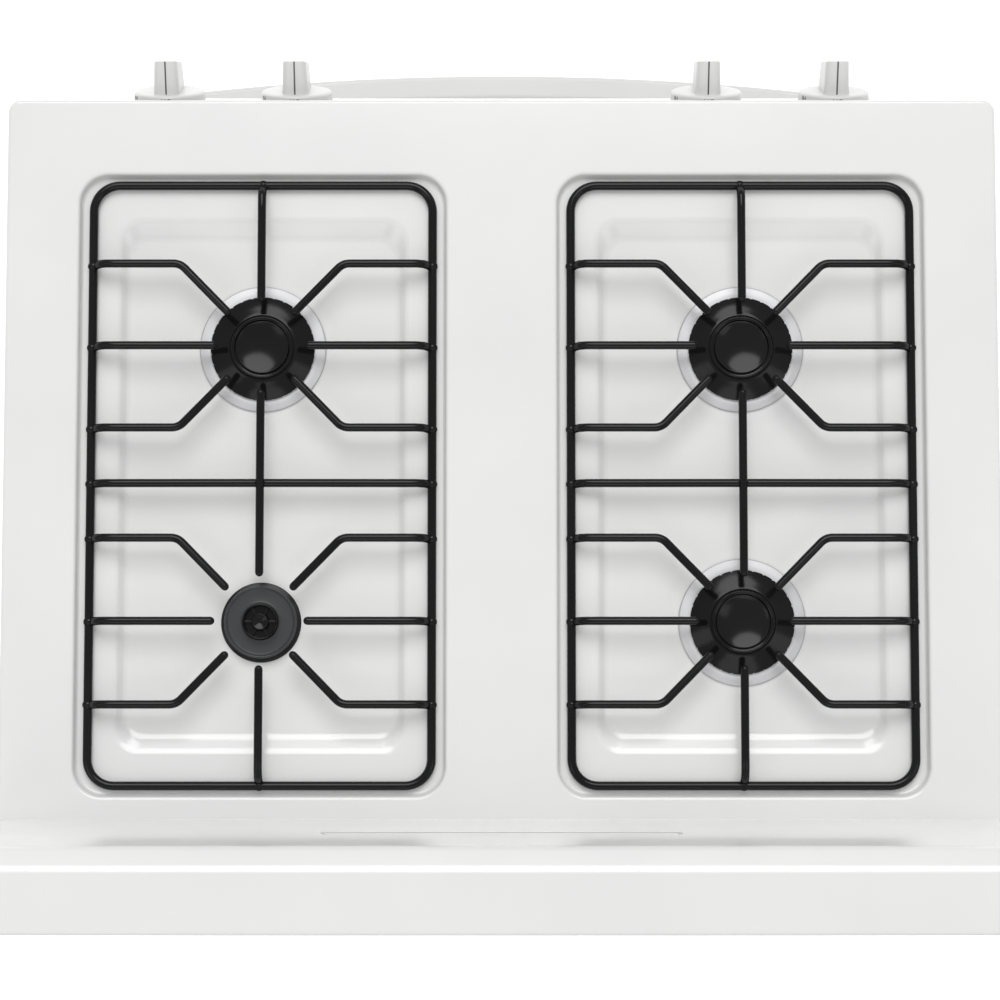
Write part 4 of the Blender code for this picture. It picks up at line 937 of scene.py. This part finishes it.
panel = {
    "slant": math.radians(25),
    "edge": 0.0025,
    "wall": 0.0012,
    "knobBelow": 0.0555,
    "dialBelow": 0.036,
    "topSetback": 0.0096,
    "topBelow": 0.0175,
    "holeRadius": 0.006,
}
knob = {
    "skirt": [
        (0.0, 0.0136), (0.0238, 0.0136), (0.0260, 0.0133), (0.0272, 0.0126), (0.0277, 0.0115), (0.0279, 0.0088),
        (0.0280, 0.0036), (0.0268, 0.0036), (0.0262, 0.0070), (0.0246, 0.0104), (0.0215, 0.0118), (0.0, 0.0118),
    ],
    "grip": (0.0205, 0.0440, 0.0228),
    "gripTilt": 0.0078,  # rise from its lower end to its upper end
    "gripTaper": (0.88, 0.97),
    "gripCorner": 0.0052,
    "lineWidth": 0.0012,
    "hub": (0.0075, 0.0036),
    "bore": 0.0034,
    "letters": 0.0056,
    "lettersAt": (0.0279, 0.0097),  # radius and height on the skirt
    "marks": (("OFF", 0), ("HI", -62), ("LO", -118)),
}
controls = {}


def controlFrame(x, depth):  # origin on the panel's face, Z out of it, Y up along it
    y = behind(panel["topSetback"] - (depth - panel["topBelow"]) * math.tan(panel["slant"]))
    return Matrix.Translation((x, y, rim - depth)) @ Matrix.Rotation(math.pi / 2 - panel["slant"], 4, "X")


for name in ("front_left", "rear_left", "rear_right", "front_right"):
    low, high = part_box(f"knob_{name}")
    controls[name] = controlFrame((low.x + high.x) / 2, panel["knobBelow"])
controls["oven"] = controlFrame(0, panel["dialBelow"])


def makePanel():
    low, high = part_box("manifold_panel")
    piece = addBox("manifoldPanelSheet", low, high)
    startEdit(piece)
    pick("VERT", lambda corner: corner.co.z > high.z - 1e-4 and corner.co.y < low.y + 1e-4)
    slide((0, (high.z - low.z) * math.tan(panel["slant"]), 0))
    removeFaces(lambda face: face.normal.y > 0.9)
    pick("EDGE", lambda edge: not edge.is_boundary)
    roundPicked(panel["edge"], 4)
    closeEdit()
    thicken(piece, panel["wall"])
    for place in controls.values():
        cutAway(piece, placePiece(addDrum("hole", panel["holeRadius"], -0.01, 0.01, 32), place))
    finishPiece(piece, "body", "whiteEnamel", "manifold_panel")


def wrapText(words, radius, z, turn, height):
    # lettering that reads from the front, wrapped round a skirt
    piece = drawText("marks", words, height, 0.00012)
    placePiece(piece, Matrix.Rotation(-math.pi / 2, 4, "X"))
    for corner in piece.data.vertices:
        angle = corner.co.x / radius
        reach = radius + corner.co.y
        corner.co = (reach * math.sin(angle), reach * math.cos(angle), corner.co.z + z)
    return placePiece(piece, Matrix.Rotation(math.radians(turn), 4, "Z"))


def tiltTop(piece, above, slope):
    for corner in piece.data.vertices:
        if corner.co.z > above:
            corner.co.z += corner.co.y * slope


def makeKnobs():
    width, length, rise = knob["grip"]
    top = knob["skirt"][0][1]
    skirt = turnProfile("knobSkirt", knob["skirt"], 96)
    grip = addBox("grip", (-width / 2, -length / 2, top - 0.002), (width / 2, length / 2, top + rise))
    startEdit(grip)
    pick("FACE", lambda face: face.normal.z > 0.9)
    stretch((*knob["gripTaper"], 1), (0, 0, top + rise))
    pick("EDGE", lambda edge: abs(midOf(edge).x) > width / 4 and abs(midOf(edge).y) > length / 4)
    roundPicked(knob["gripCorner"], 6)
    pick("EDGE", lambda edge: near(midOf(edge).z, top + rise, 1e-4) and edge.calc_face_angle(0) > 0.5)
    roundPicked(0.0011, 3)
    closeEdit()
    tiltTop(grip, top + rise / 2, knob["gripTilt"] / length)
    radius, foot = knob["hub"]
    bore = knob["bore"]
    hub = turnProfile("hub", [(bore, foot), (radius, foot), (radius, top - 0.001), (bore, top - 0.001)], 32, True)
    blank = joinPieces("knobBlank", [skirt, grip, hub])
    half, end = knob["lineWidth"] / 2, length / 2
    stripe = addBox("stripe", (-half, end - 0.0006, top + 0.0004), (half, end + 0.00015, top + rise - 0.0006))
    startEdit(stripe)
    pick("VERT", lambda corner: corner.co.z > top + rise / 2)
    slide((0, -end * (1 - knob["gripTaper"][1]), 0))
    endEdit()
    tiltTop(stripe, top + rise / 2, knob["gripTilt"] / length)
    softenEdges(stripe, 0.0001, 1)
    over = top + rise
    topStripe = addBox("stripe", (-half, -end * 0.15, over - 0.0006), (half, end * 0.90, over + 0.00012))
    tiltTop(topStripe, top, knob["gripTilt"] / length)
    softenEdges(topStripe, 0.0001, 1)
    prints = [stripe, topStripe]
    for words, turn in knob["marks"]:
        prints.append(wrapText(words, *knob["lettersAt"], turn, knob["letters"]))
    printed = joinPieces("knobPrint", prints)
    for name, place in controls.items():
        if name == "oven":
            continue
        made = copyPiece(blank, f"knob_{name}_moulding", place)
        finishPiece(made, f"knob_{name}", "whitePlastic", f"knob_{name}")
        made = copyPiece(printed, f"knob_{name}_marks", place)
        finishPiece(made, f"knob_{name}", "darkPrint")
    discard(blank, printed)


dial = {
    "foot": 0.0036,
    "top": 0.0082,
    "radius": 0.015,
    "teeth": 36,
    "mark": (0.0095, 0.0138),
    "heats": ("OFF", "200", "300", "400", "500"),
    "heatsAt": (0.0215, 0.0205),
    "heatStep": 60,
    "letters": 0.0055,
}


def makeOvenDial():
    foot, top, radius = dial["foot"], dial["top"], dial["radius"]
    wheel = turnProfile("ovenDialMoulding", [
        (0, top - 0.0008), (0.0090, top - 0.0008), (0.0098, top),
        *arcPoints((radius - 0.0012, top - 0.0012), 0.0012, 90, 0, 5),
        (radius, foot), (0.0035, foot), (0.0035, foot + 0.0025), (0, foot + 0.0025),
    ], 72)

    def tooth():
        return addBox("tooth", (radius - 0.0005, -0.0003, foot + 0.0008), (radius + 0.001, 0.0003, top - 0.0014))

    cutAway(wheel, joinPieces("teeth", ringOf(dial["teeth"], tooth)))
    placePiece(wheel, controls["oven"])
    finishPiece(wheel, "oven_control", "whitePlastic", "oven_dial")
    inner, outer = dial["mark"]
    mark = addBox("ovenDialMark", (-0.0005, inner, top - 0.0003), (0.0005, outer, top + 0.00012))
    softenEdges(mark, 0.0001, 1)
    placePiece(mark, controls["oven"])
    finishPiece(mark, "oven_control", "darkPrint")
    words = []
    across, along = dial["heatsAt"]
    for index, heat in enumerate(dial["heats"]):
        turn = math.radians(dial["heatStep"] * (1 - index))
        label = drawText("heat", heat, dial["letters"], 0.0001)
        place = Matrix.Translation((-across * math.sin(turn), along * math.cos(turn) - 0.001, 0.0001))
        words.append(placePiece(label, controls["oven"] @ place))
    finishPiece(joinPieces("ovenDialHeats", words), "body", "darkPrint")


makePanel()
makeKnobs()
makeOvenDial()
print("panel, knobs and dial moulded")

# ---- door

door = {
    "edge": 0.004,
    "wall": 0.0012,
    "glassCorner": 0.015,
    "openingInset": 0.015,
    "handleHalf": (0.0105, 0.0098),
    "handleEdge": 0.0042,
    "sag": 0.022,
    "post": (0.0105, 0.0085),
    "postX": 0.300,
    "hinge": (0.330, 0.004, 0.314, 0.010),
    "linerBand": 0.062,
    "linerPress": (0.988, 1, 0.984),
    "innerGlass": (0.018, 0.0040, 0.012),  # inset, depth and corner
    "gasket": 0.0032,
    "gasketLoop": (0.345, 0.322, 0.800),  # half width, bottom and top
    "linerScrews": (0.362, (0.345, 0.480, 0.640, 0.790)),
}


def frontPan(name, box, radius, wall):
    # an enamelled pan across the front, open behind
    low, high = box
    piece = addBox(name, low, high)
    startEdit(piece)
    removeFaces(lambda face: face.normal.y > 0.9)
    pick("EDGE", lambda edge: not edge.is_boundary and midOf(edge).y < low.y + 1e-4)
    roundPicked(radius, 6)
    pick("EDGE", lambda edge: edgeAlong(edge, 1) and edge.calc_face_angle(0) > 0.5)
    roundPicked(radius * 0.6, 4)
    closeEdit()
    thicken(piece, wall)
    return piece


def frontLoop(x, z0, z1, y, corner):
    return bendPath([(-x, y, z0), (x, y, z0), (x, y, z1), (-x, y, z1)], corner, 8, True)


def makeDoor():
    low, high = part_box("door_panel")
    paneLow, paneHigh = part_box("door_window")
    inset = door["openingInset"]
    skin = frontPan("doorSkin", (low, high), door["edge"], door["wall"])
    openingLow = (paneLow.x + inset, low.y - 0.01, paneLow.z + inset)
    openingHigh = (paneHigh.x - inset, low.y + 0.01, paneHigh.z - inset)
    opening = roundedBlock("opening", openingLow, openingHigh, door["glassCorner"], 1, 8)
    slots = hingeSlots(low, high, 0)
    cutAway(skin, opening, *slots)
    finishPiece(skin, "door", "whiteEnamel", "door_panel")

    pane = roundedBlock("doorGlass", paneLow, paneHigh, door["glassCorner"], 1, 8)
    softenEdges(pane, 0.0008, 2, 60)
    finishPiece(pane, "door", "darkGlass", "door_window")

    # a bead of trim round the opening
    x, z0, z1 = openingHigh[0], openingLow[2], openingHigh[2]
    trim = wireAlong("windowTrim", frontLoop(x, z0, z1, low.y + 0.0006, door["glassCorner"]), 0.0010, True)
    finishPiece(trim, "door", "brightSteel")

    linerLow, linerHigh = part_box("door_liner")
    liner = addBox("doorLinerSheet", linerLow, linerHigh)
    startEdit(liner)
    removeFaces(lambda face: face.normal.y < -0.9)
    pick("FACE", lambda face: face.normal.y > 0.9)
    bpy.ops.mesh.inset(thickness=door["linerBand"])
    push((0, -0.0018, 0))
    stretch(door["linerPress"], (0, linerHigh.y, (linerLow.z + linerHigh.z) / 2))
    pick("EDGE", lambda edge: bent(edge, 0.2))
    roundPicked(0.0016, 3)
    closeEdit()
    thicken(liner, 0.001)
    innerLow = (paneLow.x + 2 * inset, linerLow.y - 0.01, paneLow.z + 2 * inset)
    innerHigh = (paneHigh.x - 2 * inset, linerHigh.y + 0.01, paneHigh.z - 2 * inset)
    cutAway(liner, roundedBlock("opening", innerLow, innerHigh, door["glassCorner"], 1, 8),
            *hingeSlots(linerLow, linerHigh, door["hinge"][3]))
    finishPiece(liner, "door", "greySpeckle", "door_liner")

    inset, deep, corner = door["innerGlass"]
    innerPane = roundedBlock("doorInnerGlass", (paneLow.x + inset, linerLow.y - deep, paneLow.z + inset),
                             (paneHigh.x - inset, linerLow.y - 0.0004, paneHigh.z - inset), corner, 1, 6)
    softenEdges(innerPane, 0.0006, 2, 60)
    finishPiece(innerPane, "door", "darkGlass")

    x, z0, z1 = door["gasketLoop"]
    loop = frontLoop(x, z0, z1, linerHigh.y + door["gasket"], 0.025)
    rope = wireAlong("doorGasket", loop, door["gasket"], True)
    finishPiece(rope, "door", "fibreRope")
    reach, rows = door["linerScrews"]
    screws = [(x, linerHigh.y, z) for x in (-reach, reach) for z in rows]
    makeScrews("doorLinerScrews", screws, Matrix.Rotation(-math.pi / 2, 4, "X"), "door")


def hingeSlots(low, high, above):
    x, half, z, _ = door["hinge"]
    return [addBox("slot", (side * x - half, low.y + 0.0075 if not above else low.y - 0.01, low.z - 0.01),
                   (side * x + half, high.y + 0.01, z + above)) for side in (-1, 1)]


screw = {"head": 0.0040, "rise": 0.0022}


def makeScrews(name, places, turn, body, rise=screw["rise"]):
    # pan-headed screws with a cross recess; turn lays Z along the way they face
    head = screw["head"]
    blank = turnProfile("screwHead", [(0, -0.002), (head * 0.5, -0.002), (head * 0.5, 0.00005), (head, 0.00005),
                                      (head * 0.95, rise * 0.55), (head * 0.6, rise * 0.93), (0, rise)], 20)
    for turned in (0, math.pi / 2):
        bar = addBox("bar", (-head * 0.55, -0.0004, rise - 0.0012), (head * 0.55, 0.0004, rise + 0.001))
        cutAway(blank, placePiece(bar, Matrix.Rotation(turned + 0.4, 4, "Z")))
    made = [copyPiece(blank, "screw", Matrix.Translation(place) @ turn @ Matrix.Rotation(0.7 * index, 4, "Z"))
            for index, place in enumerate(places)]
    discard(blank)
    return finishPiece(joinPieces(name, made), body, "brightSteel")


def bowOf(x):
    return door["sag"] * (x / handleHigh.x) ** 2


handleLow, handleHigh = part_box("door_handle")


def makeHandle():
    halfY, halfZ = door["handleHalf"]
    z = (handleLow.z + handleHigh.z) / 2
    centre = handleLow.y + halfY
    end = handleHigh.x - 0.0004
    bar = addBox("bar", (-end, centre - halfY, z - halfZ), (end, centre + halfY, z + halfZ))
    startEdit(bar)
    pick("EDGE", lambda edge: edgeAlong(edge, 0))
    roundPicked(door["handleEdge"], 5)
    for step in range(1, 32):
        sliceAt((-end + 2 * end * step / 32, 0, 0), (1, 0, 0))
    pick("EDGE", lambda edge: near(abs(midOf(edge).x), end, 1e-4) and edge.calc_face_angle(0) > 0.9)
    roundPicked(0.0030, 4)
    closeEdit()
    for corner in bar.data.vertices:
        corner.co.y += bowOf(corner.co.x)
    parts = [bar]
    deep, tall = door["post"]
    for side in (-1, 1):
        x = side * door["postX"]
        post = addBox("post", (x - deep, centre + bowOf(x), z - tall), (x + deep, handleHigh.y, z + tall))
        startEdit(post)
        pick("FACE", lambda face: face.normal.y > 0.9)
        stretch((1.25, 1, 1.15), (x, handleHigh.y, z))
        pick("EDGE", lambda edge: abs(midOf(edge).x - x) > deep / 2 and abs(midOf(edge).z - z) > tall / 2)
        roundPicked(0.0045, 5)
        closeEdit()
        parts.append(post)
    handle = joinPieces("doorHandleMoulding", parts)
    finishPiece(handle, "door", "whitePlastic", "door_handle")


makeDoor()
makeHandle()
print("door and handle made")

# ---- drawer

drawer = {
    "edge": 0.004,
    "wall": 0.0012,
    "pull": (0.120, 0.010, 0.008),
    "rimWire": 0.0016,
    "panCorner": 0.018,
    "pullDrop": 0.026,
    "pullWall": 0.004,
    "grid": (0.006, 0.0060, 0.0045),  # inset, and its two faces below the rim
    "gridSlots": 15,
    "gridMargin": 0.035,
    "gridSlot": (0.075, 0.060, 0.0022),  # place across, half length and half width
}


def openPan(name, box, corner, wall, flare=1.0):
    low, high = box
    piece = addBox(name, low, high)
    startEdit(piece)
    removeFaces(lambda face: face.normal.z > 0.9)
    pick("EDGE", lambda edge: edgeAlong(edge, 2))
    roundPicked(corner, 6)
    pick("FACE", lambda face: face.normal.z < -0.9)
    if flare != 1:
        stretch((flare, flare, 1), ((low[0] + high[0]) / 2, (low[1] + high[1]) / 2, low[2]))
    pick("EDGE", lambda edge: bent(edge, 0.5) and near(midOf(edge).z, low[2], 1e-4))
    roundPicked(min(corner * 0.5, 0.006), 4)
    closeEdit()
    thicken(piece, wall)
    return piece


def shrunk(low, high, by):
    return [axis + by for axis in low], [axis - by for axis in high]


def rimPath(low, high, corner, z):
    corners = [(low[0], low[1], z), (high[0], low[1], z), (high[0], high[1], z), (low[0], high[1], z)]
    return bendPath(corners, corner, 6, True)


def makeDrawer():
    low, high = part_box("drawer_front")
    skin = frontPan("drawerSkin", (low, high), drawer["edge"], drawer["wall"])
    half, tall, deep = drawer["pull"]
    back = low.y + 0.0013  # just behind the skin
    z = high.z - drawer["pullDrop"]
    bottom, top = z - tall / 2, z + tall / 2
    groove = roundedBlock("groove", (-half, low.y - 0.01, bottom), (half, low.y + 0.01, top), tall * 0.48, 1, 6)
    cutAway(skin, groove)  # for fingers, under the upper edge
    finishPiece(skin, "drawer", "whiteEnamel", "drawer_front")
    wall = drawer["pullWall"]
    cup = roundedBlock("drawerPullCup", (-half - wall, back, bottom - wall),
                       (half + wall, back + deep + wall, top + wall), 0.006, 1, 6)
    cutAway(cup, roundedBlock("hollow", (-half, low.y - 0.01, bottom), (half, back + deep, top), 0.0045, 1, 6))
    softenEdges(cup, 0.0006, 2, 50)
    finishPiece(cup, "drawer", "whitePlastic")

    low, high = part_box("drawer_tray")
    wire = drawer["rimWire"]
    tray = openPan("drawerTraySheet", (low, (high.x, high.y, high.z - wire)), 0.006, 0.001)
    inside = shrunk(low, high, wire)
    rolled = wireAlong("rolled", rimPath(*inside, 0.006, high.z - wire), wire, True)
    finishPiece(joinPieces("drawerTraySheet", [tray, rolled]), "drawer", "zincSteel", "drawer_tray")

    low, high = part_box("broiler_pan")
    corner = drawer["panCorner"]
    pan = openPan("broilerPanShell", (low, (high.x, high.y, high.z - wire)), corner, 0.0012, 0.94)
    inside = shrunk(low, high, wire)
    rolled = wireAlong("rolled", rimPath(*inside, corner, high.z - wire), wire, True)
    finishPiece(joinPieces("broilerPanShell", [pan, rolled]), "drawer", "blackEnamel", "broiler_pan")
    inset, bottom, top = drawer["grid"]
    grid = roundedBlock("broilerGrid", (low.x + inset, low.y + inset, high.z - bottom),
                        (high.x - inset, high.y - inset, high.z - top), corner - 0.004, 2, 6)
    count, margin = drawer["gridSlots"], drawer["gridMargin"]
    across, half, thin = drawer["gridSlot"]
    span = (high.y - low.y - 2 * margin) / (count - 1)
    cutters = []
    for index in range(count):
        y = low.y + margin + span * index
        for x in (-across, across):
            first, last = (x - half, y - thin, high.z - 0.02), (x + half, y + thin, high.z + 0.01)
            cutters.append(roundedBlock("cutter", first, last, 0.0021, 2, 3))
    cutAway(grid, joinPieces("cutters", cutters))
    softenEdges(grid, 0.0004, 2, 50)
    finishPiece(grid, "drawer", "greySpeckle", slotName="black_enamel")


makeDrawer()
print("drawer made")

# ---- sides, back and base

shell = {
    "edge": 0.0025,
    "wall": 0.001,
    "emboss": (0.055, 0.0016),
    "vents": (3, 5, 0.022, 0.100),  # rows and columns, and their pitches
    "vent": (0.040, 0.0065),  # half width and height
    "ventDrop": 0.100,
    "backRib": (0.060, 0.0030),
    "backSeams": (0.420, 0.440),
    "inlet": 0.013,
    "screwSeat": 0.0046,
    "screws": (0.365, (0.085, 0.30, 0.52, 0.74, 0.885)),
    "topScrews": (0.18, 0.885),
}


def makeSides():
    for side, sign in sides.items():
        low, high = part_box(f"side_panel_{side}")
        piece = addBox(f"side_{side}_sheet", low, high)
        startEdit(piece)
        removeFaces(lambda face: face.normal.x * sign < -0.9)
        pick("FACE", lambda face: face.normal.x * sign > 0.9)
        margin, deep = shell["emboss"]
        bpy.ops.mesh.inset(thickness=margin)
        bpy.ops.mesh.inset(thickness=0.004, depth=-deep)
        pick("EDGE", lambda edge: bent(edge, 0.25))
        roundPicked(shell["edge"] * 0.8, 4)
        closeEdit()
        thicken(piece, shell["wall"])
        finishPiece(piece, "body", "whiteEnamel", f"side_panel_{side}")


def makeRear():
    low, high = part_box("rear_panel")
    piece = addBox("rearSheet", low, high)
    startEdit(piece)
    seams = shell["backSeams"]
    for z in seams:
        sliceAt((0, 0, z), (0, 0, 1))
    pick("FACE", lambda face: face.normal.y > 0.9 and midOf(face).z < seams[0])
    embossBack()
    pick("FACE", lambda face: face.normal.y > 0.9 and midOf(face).z > seams[1])
    embossBack()

    def inside(face):  # the face towards the body, and the thin edges all round
        middle = midOf(face)
        atEnd = near(abs(middle.x), high.x, 1e-4) or near(middle.z, low.z, 1e-4) or near(middle.z, high.z, 1e-4)
        return near(middle.y, low.y, 1e-5) or atEnd and face.normal.y < 0.05 and middle.y > low.y + 1e-5

    removeFaces(inside)
    pick("EDGE", lambda edge: bent(edge, 0.2))
    roundPicked(0.0012, 2)
    closeEdit()
    thicken(piece, 0.0009)
    pipeLow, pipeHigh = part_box("pressure_regulator")
    x = (pipeLow.x + pipeHigh.x) / 2
    inlet = addDrum("hole", shell["inlet"], -0.02, 0.02, 32)
    place = Matrix.Translation((x, high.y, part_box("gas_manifold")[0].z + 0.008))
    placePiece(inlet, place @ Matrix.Rotation(math.pi / 2, 4, "X"))
    rows, columns, drop, pitch = shell["vents"]
    half, tall = shell["vent"]
    slots = []
    for row in range(rows):
        top = high.z - shell["ventDrop"] - row * drop
        for column in range(columns):
            middle = pitch * (column - (columns - 1) / 2)
            first, last = (middle - half, low.y - 0.02, top - tall), (middle + half, high.y + 0.02, top)
            slots.append(roundedBlock("vent", first, last, tall * 0.48, 1, 4))
    reach, heights = shell["screws"]
    places = [(x, high.y - 0.0008, z) for x in (-reach, reach) for z in heights]
    reach, height = shell["topScrews"]
    places += [(x, high.y - 0.0008, height) for x in (-reach, reach)]
    turn = Matrix.Rotation(-math.pi / 2, 4, "X")
    seats = [placePiece(addDrum("seat", shell["screwSeat"], -0.004, 0.004, 24), Matrix.Translation(place) @ turn)
             for place in places]
    cutAway(piece, inlet, joinPieces("vents", slots), joinPieces("seats", seats))
    finishPiece(piece, "body", "zincSteel", "rear_panel")
    makeScrews("rearScrews", places, turn, "body", 0.0010)


def embossBack():
    margin, deep = shell["backRib"]
    bpy.ops.mesh.inset(thickness=margin)
    bpy.ops.mesh.inset(thickness=0.005, depth=-deep)


makeSides()
makeRear()
print("sides and back made")

foot = {"pad": 0.018, "teeth": 24, "thread": (0.0235, 0.0500, 0.0012)}


def makeFeet():
    pad = foot["pad"]
    blank = turnProfile("footPad", [(0, 0), (0.0165, 0), (pad, 0.0015), (pad, 0.0085), (0.0165, 0.0100),
                                    (0.0090, 0.0205), (0.0078, 0.0225), (0.0065, 0.0238), (0, 0.0238)], 48)

    def tooth():
        return addBox("tooth", (pad - 0.0007, -0.0006, 0.0022), (pad + 0.002, 0.0006, 0.0080))

    cutAway(blank, joinPieces("teeth", ringOf(foot["teeth"], tooth)))
    threads = [(0, 0.0230), (0.0047, 0.0230)]
    z, top, pitch = foot["thread"]
    while z < top:
        threads += [(0.0050, z), (0.0045, z + pitch / 2)]
        z += pitch
    threads += [(0.0044, 0.0507), (0, 0.0507)]
    stem = turnProfile("footStem", threads, 24)
    for row in ("front", "rear"):
        for side in sides:
            low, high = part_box(f"foot_{row}_{side}")
            place = Matrix.Translation(((low.x + high.x) / 2, (low.y + high.y) / 2, 0))
            made = copyPiece(blank, f"foot_{row}_{side}_pad", place)
            finishPiece(made, f"foot_{row}_{side}", "blackPlastic", f"foot_{row}_{side}")
            made = copyPiece(stem, f"foot_{row}_{side}_stem", place)
            finishPiece(made, f"foot_{row}_{side}", "brightSteel")
    discard(blank, stem)


makeFeet()
print("feet made")

# ---- racks

rack = {"edge": 0.0025, "rung": 0.0018, "rungs": 20, "ties": 3, "tieDrop": 0.0006, "corner": 0.012}


def makeRacks():
    for name in ("lower", "upper"):
        low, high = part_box(f"oven_rack_{name}")
        edge, rung = rack["edge"], rack["rung"]
        z = (low.z + high.z) / 2
        inside = shrunk(low, high, edge)
        parts = [wireAlong("border", rimPath(*inside, rack["corner"], z), edge, True)]
        for index in range(1, rack["rungs"]):
            x = low.x + (high.x - low.x) * index / rack["rungs"]
            path = [(x, inside[0][1], z), (x, inside[1][1], z)]
            parts.append(wireAlong("rung", path, rung, sides=2))
        for index in range(1, rack["ties"] + 1):
            y = low.y + (high.y - low.y) * index / (rack["ties"] + 1)
            path = [(inside[0][0], y, z - rack["tieDrop"]), (inside[1][0], y, z - rack["tieDrop"])]
            parts.append(wireAlong("tie", path, rung, sides=3))
        made = joinPieces(f"rack_{name}_wires", parts)
        finishPiece(made, f"rack_{name}", "chromeWire", f"oven_rack_{name}", angle=50)


makeRacks()
print("racks bent")

# ---- pieces that keep their own shape

slotFinishes = {look["slot"]: finishes[name] for name, look in reversed(finishLooks.items())}
for part in frame["record"]["subparts"]:
    node = frame["nodes"][part["node"]]
    if not node.hide_render:
        node.data.materials.clear()
        node.data.materials.append(slotFinishes[part["material_slot"]])
print("remaining pieces given their finishes")
